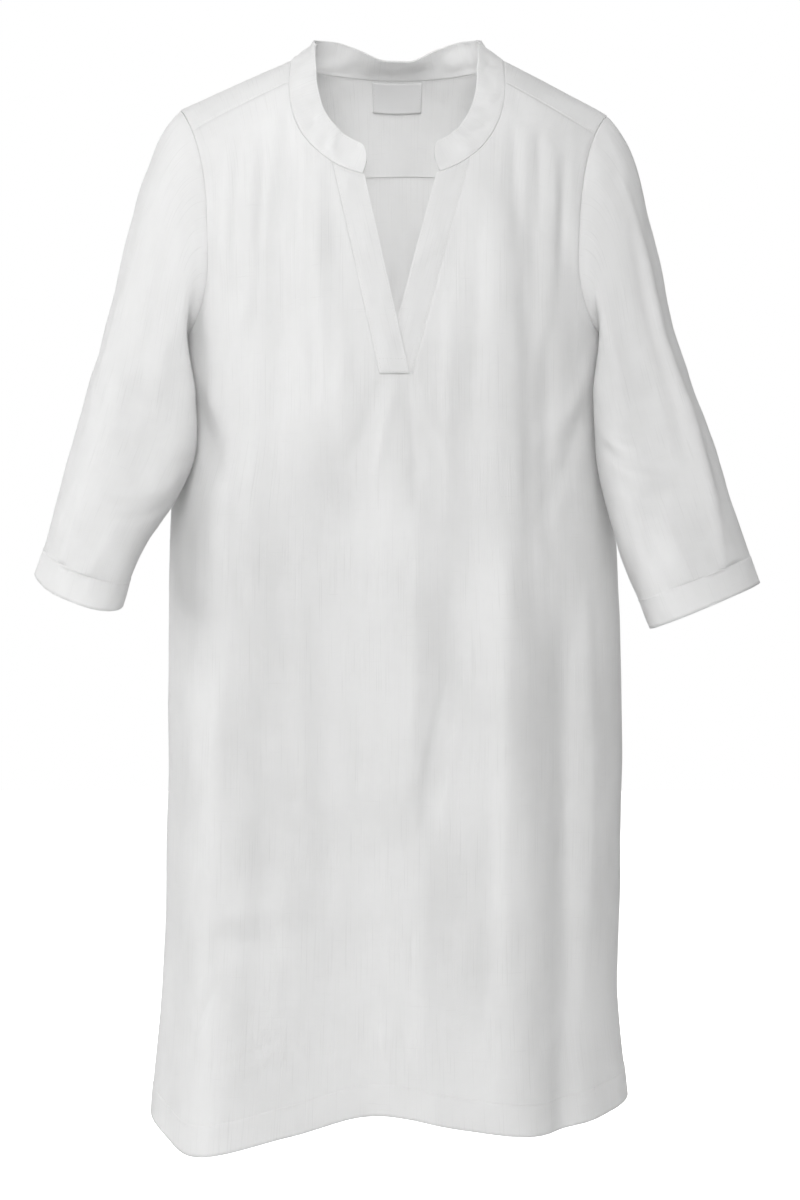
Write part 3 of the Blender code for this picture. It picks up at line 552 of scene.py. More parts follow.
@dataclass
class ClothSheet:
    """A sheet of cloth on a grid, from its middle surface to the finished shell."""

    name: str
    columns: list[float]
    rows: list[float]
    place: Callable[[float, float], Vector]
    chart: Callable[[float, float], tuple[float, float]]
    core: Vector
    relief: Callable[[float, float, Vector], float] = lambda across, along, spot: 0.0
    keep: Callable[[float, float], bool] = lambda column, row: True
    sewn: Callable[[float, float], bool] = lambda column, row: True
    wall: float = 0.0011
    hem_wall: float = 0.0022
    thickness: Callable[[float, float], float] = lambda column, row: 0.0
    closed: bool = False
    seam_roll: float = 0.0002
    seam_reach: float = 0.0014
    seam_fade: float = 0.009
    seam_lap: float = 0.0004
    weld: float = 1e-6

    def build(self) -> Shell:
        """Make the shell.

        Returns:
            The shell, with its object linked to the scene.
        """
        mesh = bmesh.new()
        group = mesh.verts.layers.deform.verify()
        across = mesh.verts.layers.float.new("across")
        along = mesh.verts.layers.float.new("along")
        column_layer = mesh.verts.layers.float.new("column")
        row_layer = mesh.verts.layers.float.new("row")
        uv = mesh.loops.layers.uv.new("cloth")
        self.lay_grid(mesh, (column_layer, row_layer))
        for vertex in mesh.verts:
            column, row = vertex[column_layer], vertex[row_layer]
            vertex[across], vertex[along] = self.chart(column, row)
            vertex[group][0] = lerp(self.wall / self.hem_wall, 1.0, self.thickness(column, row))
            vertex.co = self.place(column, row)
        for face in mesh.faces:
            for loop in face.loops:
                loop[uv].uv = (loop.vert[across], loop.vert[along])
        if self.closed:
            bmesh.ops.remove_doubles(mesh, verts=mesh.verts, dist=self.weld)
        if sum(face.normal.dot(face.calc_center_median() - self.core)
               for face in self.with_normals(mesh).faces) < 0.0:
            bmesh.ops.reverse_faces(mesh, faces=mesh.faces)
        mesh.normal_update()
        self.shape_surface(mesh, (column_layer, row_layer), (across, along))
        mesh.normal_update()
        tree = BVHTree.FromBMesh(mesh)
        data = bpy.data.meshes.new(self.name)
        mesh.to_mesh(data)
        mesh.free()
        data.shade_smooth()
        piece = bpy.data.objects.new(self.name, data)
        bpy.context.scene.collection.objects.link(piece)
        piece.vertex_groups.new(name="thickness")
        solid = piece.modifiers.new("wall", "SOLIDIFY")
        solid.thickness = self.hem_wall
        solid.offset = 0.0
        solid.vertex_group = "thickness"
        return Shell(piece, tree, self.wall)

    def with_normals(self, mesh: bmesh.types.BMesh) -> bmesh.types.BMesh:
        """Update the mesh's normals and hand it back."""
        mesh.normal_update()
        return mesh

    def lay_grid(self, mesh: bmesh.types.BMesh, layers: tuple) -> None:
        """Lay a flat grid, note each vertex's column and row, and cut away what isn't cloth.

        Args:
            mesh: The empty mesh to fill.
            layers: The float layers for column and row.
        """
        last_column, last_row = len(self.columns) - 1, len(self.rows) - 1
        bmesh.ops.create_grid(mesh, x_segments=last_column, y_segments=last_row, size=0.5)
        for vertex in mesh.verts:
            vertex[layers[0]] = self.columns[round((vertex.co.x + 0.5) * last_column)]
            vertex[layers[1]] = self.rows[round((vertex.co.y + 0.5) * last_row)]
        cut = [face for face in mesh.faces
               if not self.keep(sum(v[layers[0]] for v in face.verts) / 4,
                                sum(v[layers[1]] for v in face.verts) / 4)]
        bmesh.ops.delete(mesh, geom=cut, context="FACES")

    def shape_surface(self, mesh: bmesh.types.BMesh, layers: tuple, charts: tuple) -> None:
        """Press the creases in, and roll the sewn edges inwards until they meet their neighbours.

        Args:
            mesh: The placed middle surface.
            layers: The float layers for column and row.
            charts: The float layers for the place on the chart.
        """
        spots = []
        for edge in mesh.edges:
            first, second = edge.verts
            if edge.is_boundary and all(self.sewn(v[layers[0]], v[layers[1]]) for v in edge.verts):
                spots += [first.co.lerp(second.co, step / 3) for step in range(4)]
        seam = KDTree(max(len(spots), 1))
        for index, spot in enumerate(spots):
            seam.insert(spot, index)
        seam.balance()
        moves = []
        for vertex in mesh.verts:
            away = seam.find(vertex.co)[2] if spots else 1.0
            push = self.relief(vertex[charts[0]], vertex[charts[1]], vertex.co)
            push *= smooth(away / self.seam_fade)
            push -= self.seam_roll * math.exp(-((away / self.seam_reach) ** 2))
            move = vertex.normal * push
            if away < self.weld and vertex.is_boundary:
                inner = [e.other_vert(vertex).co for e in vertex.link_edges if not e.is_boundary]
                if inner:
                    outward = vertex.co - sum(inner, Vector()) / len(inner)
                    move += outward.normalized() * self.seam_lap
            moves.append((vertex, move))
        for vertex, move in moves:
            vertex.co += move


def total_push(creases: Iterable[Crease], across: float, along: float) -> float:
    """Sum of what all the creases push out at a place of a chart."""
    return sum(crease.push(across, along) for crease in creases)


def rumple(spot: Vector, size: Vector, out: float) -> float:
    """Soft uneven rise and fall of pressed linen.

    Args:
        spot: The place on the dress.
        size: How long the rise and fall is along each axis.
        out: Its reach.

    Returns:
        The push along the outward normal, in metres.
    """
    return out * noise.noise(Vector((spot.x / size.x, spot.y / size.y, spot.z / size.z)))


@dataclass(frozen=True)
class PanelGrid:
    """Whole cells of the front and back panels, shared with their seams."""

    side: int = 5
    half: int = 11
    slit: int = 2
    skirt: int = 18
    slit_rows: int = 8
    neck_rows: int = 7
    armhole_rows: int = 7
    back_high_rows: int = 5
    yoke_wing: int = 6
    yoke_back: int = 18
    sleeve: int = 26

    @property
    def front_columns(self) -> int:
        """Columns of the whole front."""
        return 2 * (self.side + self.half) + self.slit

    @property
    def back_columns(self) -> int:
        """Columns of the whole back."""
        return 2 * self.side + self.yoke_back


GRID = PanelGrid()
SEAM_ANGLE = 0.0002
SIDE_SEAM_GAP = 0.0006
ARCH_RADIUS = 0.19
PANEL_HALF_ARC = 0.265
STITCH_ROW = 0.90
YOKE_STITCH_INSET = 0.0025


def skirt_climb(row: float, column: float, face: Face, top: float) -> float:
    """Climb of a skirt row: the first cell is the turned hem, the rest leads to top."""
    hem = TORSO.hem_z(column, face) - UNDERARM_Z
    if row <= 1.0:
        return hem + TORSO.hem_depth * row
    if row <= 2.0:
        return hem + TORSO.hem_depth + TORSO.hem_step * (row - 1.0)
    return lerp(hem + TORSO.hem_depth + TORSO.hem_step, top, (row - 2.0) / (GRID.skirt - 2))


HEM_FADE_START = 0.95
HEM_FADE_ROWS = 0.5
HEM_END_ROW = 2.6
HEM_RIPPLE = (0.011, 0.00055)
HEM_WAVE = (0.045, 0.0007)
HEM_GROOVE = (0.0014, 0.00022)
LINE_STEPS = 120


def panel_hem(row: float) -> float:
    """Share of the hem's full thickness at a row of a panel."""
    return 1.0 - smooth((row - HEM_FADE_START) / HEM_FADE_ROWS)


def hem_roping(across: float, row: float) -> float:
    """Small slanting ripples of a turned hem, held by its line of stitches."""
    if row > HEM_END_ROW:
        return 0.0
    below = min(row, 1.0)
    ripple = noise.noise(Vector((across / HEM_RIPPLE[0] + below * 0.9, below * 0.5, 0.0)))
    wave = noise.noise(Vector((across / HEM_WAVE[0], 3.0, 0.0)))
    fade = math.sin(math.pi * min(1.0, below * 0.85 + 0.1))
    if row > 1.0:
        fade = smooth((HEM_END_ROW - row) / 1.6)
    groove = math.exp(-(((row - STITCH_ROW) * TORSO.hem_depth / HEM_GROOVE[0]) ** 2))
    return HEM_RIPPLE[1] * ripple * fade + HEM_WAVE[1] * wave * fade - HEM_GROOVE[1] * groove


FRONT_CREASES = (
    # Gathers that fall from the left and right shoulder seams
    Crease((-0.152, -0.092), (-0.150, -0.215), 0.0065, 0.0024, bow=0.003),
    Crease((-0.140, -0.085), (-0.143, -0.190), 0.0050, -0.0020),
    Crease((-0.128, -0.078), (-0.131, -0.260), 0.0070, 0.0022, bow=-0.004),
    Crease((-0.116, -0.070), (-0.121, -0.185), 0.0045, -0.0017),
    Crease((-0.105, -0.062), (-0.112, -0.240), 0.0060, 0.0020, bow=0.003),
    Crease((-0.094, -0.056), (-0.098, -0.170), 0.0045, -0.0015),
    Crease((-0.086, -0.060), (-0.084, -0.290), 0.0065, 0.0022, bow=-0.005),
    Crease((-0.075, -0.115), (-0.066, -0.330), 0.0060, -0.0024, bow=0.004),
    Crease((0.106, -0.066), (0.110, -0.180), 0.0050, -0.0018),
    Crease((0.118, -0.072), (0.121, -0.250), 0.0065, 0.0022, bow=0.004),
    Crease((0.130, -0.078), (0.131, -0.175), 0.0045, -0.0017),
    Crease((0.142, -0.086), (0.139, -0.230), 0.0060, 0.0021, bow=-0.003),
    Crease((0.155, -0.095), (0.150, -0.200), 0.0050, -0.0018),
    # Long soft verticals of the chest
    Crease((-0.046, -0.190), (-0.034, -0.420), 0.0080, 0.0018, bow=0.004),
    Crease((-0.128, -0.250), (-0.138, -0.520), 0.0090, -0.0022, bow=0.004),
    Crease((0.072, -0.160), (0.066, -0.400), 0.0075, -0.0020, bow=-0.003),
    Crease((0.050, -0.230), (0.046, -0.430), 0.0065, 0.0017),
    Crease((0.108, -0.240), (0.112, -0.480), 0.0080, 0.0021, bow=0.003),
    Crease((0.135, -0.260), (0.138, -0.460), 0.0070, -0.0020),
    # Fans out from the foot of the slit
    Crease((0.004, -0.306), (-0.016, -0.400), 0.0050, 0.0020, bow=0.002),
    Crease((0.010, -0.306), (0.020, -0.420), 0.0050, -0.0017, bow=-0.002),
    Crease((-0.010, -0.306), (-0.042, -0.390), 0.0055, -0.0015),
    Crease((0.016, -0.304), (0.050, -0.380), 0.0055, 0.0014),
    # Diagonals from the underarms
    Crease((-0.186, -0.262), (-0.120, -0.380), 0.0090, 0.0022, bow=0.010),
    Crease((-0.178, -0.300), (-0.128, -0.430), 0.0080, -0.0020, bow=0.008),
    Crease((0.184, -0.262), (0.128, -0.365), 0.0085, 0.0021, bow=-0.010),
    Crease((0.172, -0.320), (0.122, -0.440), 0.0080, -0.0018, bow=-0.006),
    # Broad verticals of the skirt
    Crease((-0.148, -0.520), (-0.160, -0.800), 0.0120, 0.0028, bow=0.005),
    Crease((-0.118, -0.560), (-0.122, -0.880), 0.0110, -0.0031, bow=-0.006),
    Crease((-0.078, -0.440), (-0.074, -0.730), 0.0100, 0.0025, bow=0.006),
    Crease((-0.048, -0.520), (-0.050, -0.900), 0.0120, 0.0025, bow=-0.005),
    Crease((-0.022, -0.430), (-0.028, -0.690), 0.0075, -0.0018, bow=0.003),
    Crease((0.020, -0.400), (0.012, -0.640), 0.0085, 0.0021, bow=-0.004),
    Crease((0.055, -0.548), (0.024, -0.690), 0.0060, -0.0028, bow=0.003),
    Crease((0.068, -0.540), (0.040, -0.720), 0.0070, 0.0025, bow=0.003),
    Crease((0.100, -0.420), (0.100, -0.860), 0.0090, 0.0027, bow=0.004),
    Crease((0.084, -0.600), (0.076, -0.900), 0.0100, -0.0025, bow=-0.004),
    Crease((0.030, -0.700), (0.026, -0.930), 0.0110, 0.0022, bow=0.003),
    Crease((0.156, -0.520), (0.158, -0.880), 0.0080, -0.0028, bow=0.003),
    Crease((0.170, -0.480), (0.176, -0.800), 0.0080, 0.0022, bow=-0.003),
    # Press marks and small breaks
    Crease((-0.166, -0.694), (-0.153, -0.714), 0.0022, -0.0017, sharp=True),
    Crease((-0.152, -0.832), (-0.176, -0.888), 0.0036, -0.0022, bow=0.003),
    Crease((-0.150, -0.921), (-0.094, -0.892), 0.0034, 0.0021, bow=-0.003),
    Crease((-0.142, -0.905), (-0.104, -0.884), 0.0040, -0.0017),
    Crease((-0.158, -0.775), (-0.090, -0.768), 0.0100, 0.0025, bow=0.004),
    Crease((-0.160, -0.800), (-0.098, -0.806), 0.0110, -0.0028, bow=-0.004),
    Crease((-0.010, -0.872), (0.000, -0.914), 0.0045, 0.0024, bow=0.003),
    Crease((0.004, -0.866), (0.012, -0.900), 0.0038, -0.0017),
    Crease((-0.018, -0.884), (0.016, -0.894), 0.0040, 0.0014, bow=0.003),
    Crease((0.046, -0.640), (0.020, -0.706), 0.0024, -0.0014, sharp=True),
    Crease((0.022, -0.560), (0.060, -0.575), 0.0030, -0.0010, bow=0.004, sharp=True),
    Crease((-0.094, -0.470), (-0.082, -0.590), 0.0026, 0.0011, bow=0.003, sharp=True),
    Crease((-0.030, -0.610), (-0.006, -0.640), 0.0028, -0.0010, sharp=True),
    Crease((0.118, -0.905), (0.150, -0.880), 0.0040, 0.0017, bow=0.003),
    Crease((0.060, -0.830), (0.096, -0.812), 0.0036, -0.0011, bow=0.003),
    Crease((-0.060, -0.780), (-0.024, -0.800), 0.0034, 0.0011, bow=-0.003),
)
BACK_CREASES = (
    Crease((-0.130, -0.120), (-0.134, -0.300), 0.0070, 0.0022, bow=0.004),
    Crease((-0.105, -0.118), (-0.110, -0.260), 0.0055, -0.0018),
    Crease((-0.082, -0.112), (-0.078, -0.340), 0.0070, 0.0024, bow=-0.004),
    Crease((-0.040, -0.108), (-0.044, -0.300), 0.0060, -0.0021, bow=0.003),
    Crease((0.006, -0.106), (0.004, -0.360), 0.0065, 0.0022, bow=0.003),
    Crease((0.048, -0.108), (0.052, -0.290), 0.0055, -0.0020),
    Crease((0.090, -0.114), (0.088, -0.330), 0.0070, 0.0024, bow=0.005),
    Crease((0.118, -0.120), (0.124, -0.280), 0.0055, -0.0018),
    Crease((0.184, -0.270), (0.120, -0.390), 0.0090, 0.0024, bow=-0.010),
    Crease((0.170, -0.320), (0.100, -0.450), 0.0085, -0.0021, bow=-0.008),
    Crease((-0.184, -0.270), (-0.124, -0.380), 0.0090, 0.0022, bow=0.010),
    Crease((-0.172, -0.330), (-0.106, -0.460), 0.0085, -0.0020, bow=0.008),
    Crease((-0.046, -0.380), (-0.040, -0.620), 0.0090, 0.0021, bow=0.005),
    Crease((0.038, -0.420), (0.046, -0.700), 0.0100, -0.0022, bow=-0.005),
    Crease((0.112, -0.460), (0.118, -0.760), 0.0110, 0.0025, bow=0.006),
    Crease((-0.114, -0.480), (-0.120, -0.820), 0.0110, 0.0027, bow=-0.006),
    Crease((-0.044, -0.600), (-0.038, -0.900), 0.0120, 0.0024, bow=0.005),
    Crease((0.040, -0.640), (0.044, -0.920), 0.0120, 0.0025, bow=-0.004),
    Crease((0.124, -0.660), (0.120, -0.930), 0.0110, -0.0025, bow=0.005),
    Crease((-0.176, -0.560), (-0.184, -0.880), 0.0100, -0.0025, bow=0.004),
    Crease((0.178, -0.520), (0.184, -0.860), 0.0100, -0.0025, bow=-0.004),
    Crease((-0.090, -0.700), (-0.030, -0.716), 0.0060, 0.0017, bow=0.006),
    Crease((0.060, -0.560), (0.130, -0.585), 0.0060, -0.0017, bow=-0.006),
    Crease((0.020, -0.790), (0.070, -0.772), 0.0036, 0.0015, bow=0.003),
    Crease((-0.150, -0.860), (-0.112, -0.880), 0.0040, 0.0018, bow=0.003),
    Crease((-0.030, -0.470), (0.006, -0.490), 0.0028, -0.0011, sharp=True),
    Crease((0.092, -0.890), (0.128, -0.870), 0.0038, -0.0015, bow=0.003),
)
YOKE_CREASES = (
    Crease((-0.130, 0.060), (-0.050, 0.095), 0.0090, 0.0007, bow=0.004),
    Crease((0.060, 0.095), (0.140, 0.065), 0.0090, -0.0007, bow=0.004),
    Crease((-0.070, 0.120), (0.060, 0.118), 0.0110, 0.0008, bow=0.004),
)


@dataclass(eq=False)
class FrontPanel:
    """The front of the dress, slit at the neck, from the shoulder seams to the hem."""

    rumple_size: Vector = field(default_factory=lambda: Vector((0.034, 0.05, 0.085)))
    rumple_out: float = 0.0014
    fine_rumple_size: Vector = field(default_factory=lambda: Vector((0.011, 0.03, 0.040)))
    fine_rumple_out: float = 0.0005

    @functools.cache
    def opening_edge(self, side: int, row: float) -> tuple[float, float]:
        """Column and climb of the inner edge: up the slit, then round the neck seam."""
        gap = side * SEAM_GAP / 2
        top_turn = TORSO.slit_top_turn(side)
        top_x, top_z = TORSO.neck_front(side, top_turn)
        if row <= GRID.slit_rows:
            z = lerp(TORSO.slit_bottom_z, top_z, row / GRID.slit_rows)
            start = TORSO.slit_edge(side, TORSO.slit_bottom_z)
            return TORSO.at_height(lerp(start, top_x, row / GRID.slit_rows) + gap, z)
        turn = lerp(top_turn, 0.0, (row - GRID.slit_rows) / GRID.neck_rows)
        x, z = TORSO.neck_front(side, turn)
        trim = TORSO.neck_edge_trim
        column, climb = TORSO.at_height(x + side * trim, z - trim * turn)
        return column, climb - SEAM_ANGLE

    def outer_climb(self, row: float, low: float) -> float:
        """Climb along the armhole column, from low to the shoulder seam."""
        if row <= GRID.armhole_rows:
            return lerp(low, TORSO.armhole_low_climb, row / GRID.armhole_rows)
        share = (row - GRID.armhole_rows) / (GRID.slit_rows + GRID.neck_rows - GRID.armhole_rows)
        return lerp(TORSO.armhole_low_climb, TORSO.front_yoke_climb - SEAM_ANGLE, share)

    def spot(self, column: float, row: float) -> tuple[float, float]:
        """Column and climb on the torso of a grid place."""
        side = -1 if column <= GRID.side + GRID.half + GRID.slit / 2 else 1
        inward = column if side < 0 else GRID.front_columns - column
        low = TORSO.slit_bottom_z - SEAM_GAP - UNDERARM_Z
        above = row - GRID.skirt
        inner, inner_climb = self.opening_edge(side, max(above, 0.0))
        if inward < GRID.side:
            place, top = TORSO.armhole_low(inward / GRID.side)
            place *= side
            climb = lerp(low, top, above / GRID.armhole_rows)
        elif inward <= GRID.side + GRID.half:
            share = (inward - GRID.side) / GRID.half
            place = lerp(side * TORSO.armhole_edge, inner, share)
            climb = lerp(self.outer_climb(above, low), inner_climb, share)
        else:
            other, _ = self.opening_edge(-side, 0.0)
            place = lerp(inner, other, (inward - GRID.side - GRID.half) / GRID.slit)
            climb = low
        if above <= 0.0:
            climb = skirt_climb(row, place, Face.FRONT, low)
        return place, climb

    def place(self, column: float, row: float) -> Vector:
        """The middle of the cloth at a grid place."""
        gap = Vector((0.0, -SIDE_SEAM_GAP / 2, 0.0))
        return TORSO.point(*self.spot(column, row), Face.FRONT) + gap

    def chart(self, column: float, row: float) -> tuple[float, float]:
        """Place on the cut cloth, in metres, for the weave."""
        place, climb = self.spot(column, row)
        return place * PANEL_HALF_ARC, climb * (ARCH_RADIUS if climb > 0.0 else 1.0)

    def keep(self, column: float, row: float) -> bool:
        """Whether a cell is cloth."""
        slit_start = GRID.side + GRID.half
        in_slit = slit_start < column < slit_start + GRID.slit
        in_side = column < GRID.side or column > GRID.front_columns - GRID.side
        return row < GRID.skirt or not (in_slit or (in_side and row > GRID.skirt + GRID.armhole_rows))

    def relief(self, across: float, along: float, spot: Vector) -> float:
        """Creases, soft unevenness and the roping of the hem."""
        below_hem = (spot.z - TORSO.hem_z(across / PANEL_HALF_ARC, Face.FRONT)) / TORSO.hem_depth
        return (total_push(FRONT_CREASES, spot.x, spot.z)
                + rumple(spot, self.rumple_size, self.rumple_out)
                + rumple(spot, self.fine_rumple_size, self.fine_rumple_out)
                + hem_roping(across, max(below_hem, 0.0)))

    def build(self) -> Shell:
        """Make the front's shell."""
        spans = [(GRID.side, 3), (GRID.half, 5), (GRID.slit, 4), (GRID.half, 5), (GRID.side, 3)]
        edges = [0, GRID.side, GRID.side + GRID.half, GRID.side + GRID.half + GRID.slit,
                 GRID.front_columns - GRID.side, GRID.front_columns]
        rows = [(2, 8), (GRID.skirt - 2, 6), (GRID.slit_rows, 4), (GRID.neck_rows, 4)]
        top = GRID.skirt + GRID.slit_rows + GRID.neck_rows
        sheet = ClothSheet(
            name="front_cloth", columns=grid_lines(spans, edges),
            rows=grid_lines(rows, [GRID.skirt, GRID.skirt + GRID.armhole_rows, top]),
            place=self.place, chart=self.chart, core=Vector((0.0, 0.0, -0.5)),
            relief=self.relief, keep=self.keep, sewn=lambda column, row: row > 0.0,
            thickness=lambda column, row: panel_hem(row))
        return sheet.build()

    def hem_path(self, drop: float) -> list[Vector]:
        """Places along the hem, a share of its depth above the edge."""
        last = GRID.front_columns
        return [self.place(last * step / (2 * LINE_STEPS), drop) for step in range(2 * LINE_STEPS + 1)]


@dataclass
class BackPanel:
    """The back of the dress, from the yoke seam to the hem."""

    rumple_size: Vector = field(default_factory=lambda: Vector((0.036, 0.05, 0.095)))
    rumple_out: float = 0.0014
    fine_rumple_size: Vector = field(default_factory=lambda: Vector((0.012, 0.03, 0.044)))
    fine_rumple_out: float = 0.0005

    def spot(self, column: float, row: float) -> tuple[float, float]:
        """Column and climb on the torso of a grid place."""
        inward = min(column, GRID.back_columns - column)
        middle = GRID.back_columns / 2
        side = -1 if column < middle else 1
        low = TORSO.slit_bottom_z - UNDERARM_Z
        above = row - GRID.skirt
        place = TORSO.armhole_edge * (column - middle) / (middle - GRID.side)
        top = TORSO.armhole_low_climb
        if inward < GRID.side:
            place, top = TORSO.armhole_low(inward / GRID.side)
            place *= side
        if above <= 0.0:
            return place, skirt_climb(row, place, Face.BACK, low)
        if above <= GRID.armhole_rows:
            return place, lerp(low, top, above / GRID.armhole_rows)
        share = (above - GRID.armhole_rows) / GRID.back_high_rows
        return place, lerp(TORSO.armhole_low_climb, TORSO.back_yoke_climb(place) - SEAM_ANGLE, share)

    def place(self, column: float, row: float) -> Vector:
        """The middle of the cloth at a grid place."""
        gap = Vector((0.0, SIDE_SEAM_GAP / 2, 0.0))
        return TORSO.point(*self.spot(column, row), Face.BACK) + gap

    def chart(self, column: float, row: float) -> tuple[float, float]:
        """Place on the cut cloth, in metres, for the weave."""
        place, climb = self.spot(column, row)
        return place * PANEL_HALF_ARC, climb * (ARCH_RADIUS if climb > 0.0 else 1.0)

    def keep(self, column: float, row: float) -> bool:
        """Whether a cell is cloth."""
        in_side = column < GRID.side or column > GRID.back_columns - GRID.side
        return not (in_side and row > GRID.skirt + GRID.armhole_rows)

    def relief(self, across: float, along: float, spot: Vector) -> float:
        """Creases, soft unevenness and the roping of the hem."""
        below_hem = (spot.z - TORSO.hem_z(across / PANEL_HALF_ARC, Face.BACK)) / TORSO.hem_depth
        return (total_push(BACK_CREASES, spot.x, spot.z)
                + rumple(spot, self.rumple_size, self.rumple_out)
                + rumple(spot, self.fine_rumple_size, self.fine_rumple_out)
                + hem_roping(across, max(below_hem, 0.0)))

    def build(self) -> Shell:
        """Make the back's shell."""
        spans = [(GRID.side, 3), (GRID.yoke_back, 6), (GRID.side, 3)]
        edges = [0, GRID.side, GRID.back_columns - GRID.side, GRID.back_columns]
        rows = [(2, 8), (GRID.skirt - 2, 6), (GRID.armhole_rows, 4), (GRID.back_high_rows, 5)]
        top = GRID.skirt + GRID.armhole_rows + GRID.back_high_rows
        sheet = ClothSheet(
            name="back_cloth", columns=grid_lines(spans, edges),
            rows=grid_lines(rows, [GRID.skirt + GRID.armhole_rows, top]),
            place=self.place, chart=self.chart, core=Vector((0.0, 0.0, -0.5)),
            relief=self.relief, keep=self.keep, sewn=lambda column, row: row > 0.0,
            thickness=lambda column, row: panel_hem(row))
        return sheet.build()

    def hem_path(self, drop: float) -> list[Vector]:
        """Places along the hem, a share of its depth above the edge."""
        last = GRID.back_columns
        return [self.place(last * step / (2 * LINE_STEPS), drop) for step in range(2 * LINE_STEPS + 1)]


@dataclass(eq=False)
class Yoke:
    """The yoke, across the upper back and over both shoulders."""

    rows: int = 11
    neck_trim: float = 0.005
    rumple_size: Vector = field(default_factory=lambda: Vector((0.040, 0.040, 0.050)))
    rumple_out: float = 0.0008

    def spot(self, column: float, row: float) -> tuple[float, float]:
        """Column and arch turn on the torso of a grid place: turn is negative in front."""
        total = 2 * GRID.yoke_wing + GRID.yoke_back
        edge = TORSO.armhole_edge
        neck_column, neck_climb, face = self.neck(column / total)
        neck_turn = face.value * (QUARTER_TURN - neck_climb)
        wing = min(column, total - column)
        side = -1 if column < total / 2 else 1
        if wing <= GRID.yoke_wing:
            start = TORSO.front_yoke_climb + SEAM_ANGLE - QUARTER_TURN
            end = QUARTER_TURN - TORSO.back_yoke_climb(edge) - SEAM_ANGLE
            outer, outer_turn = side * edge, lerp(start, end, wing / GRID.yoke_wing)
        else:
            outer = edge * (2 * (column - GRID.yoke_wing) / GRID.yoke_back - 1.0)
            outer_turn = QUARTER_TURN - TORSO.back_yoke_climb(outer) - SEAM_ANGLE
        if wing == 0.0:
            neck_turn += SEAM_ANGLE
        share = row / self.rows
        share = lerp(share, 1.0, self.neck_trim * (1.0 - share))
        return lerp(neck_column, outer, share), lerp(neck_turn, outer_turn, share)

    @functools.cache
    def neck(self, share: float) -> tuple[float, float, Face]:
        """The neck seam at a share of its way round."""
        return TORSO.neck_seam(share)

    def place(self, column: float, row: float) -> Vector:
        """The middle of the cloth at a grid place."""
        place, turn = self.spot(column, row)
        return TORSO.point(place, QUARTER_TURN - abs(turn), Face.FRONT if turn < 0.0 else Face.BACK)

    def chart(self, column: float, row: float) -> tuple[float, float]:
        """Place on the cut cloth, in metres, for the weave."""
        place, turn = self.spot(column, row)
        return place * PANEL_HALF_ARC, turn * ARCH_RADIUS

    def relief(self, across: float, along: float, spot: Vector) -> float:
        """Creases and soft unevenness."""
        return total_push(YOKE_CREASES, spot.x, along) + rumple(spot, self.rumple_size, self.rumple_out)

    def build(self) -> Shell:
        """Make the yoke's shell."""
        total = 2 * GRID.yoke_wing + GRID.yoke_back
        sheet = ClothSheet(
            name="yoke_cloth", columns=grid_lines([(total, 4)], [0, total]),
            rows=grid_lines([(self.rows, 3)], [0, self.rows]),
            place=self.place, chart=self.chart, core=Vector((0.0, 0.0, -0.3)), relief=self.relief)
        return sheet.build()

    def front_seams(self) -> list[list[Vector]]:
        """The two shoulder seams on the front."""
        total = 2 * GRID.yoke_wing + GRID.yoke_back
        return [[self.place(end, self.rows * step / 60) for step in range(2, 59)] for end in (0.0, total)]

    def back_seam(self) -> list[Vector]:
        """The seam across the back."""
        start, width = GRID.yoke_wing, GRID.yoke_back
        return [self.place(start + width * step / LINE_STEPS, self.rows) for step in range(1, LINE_STEPS)]


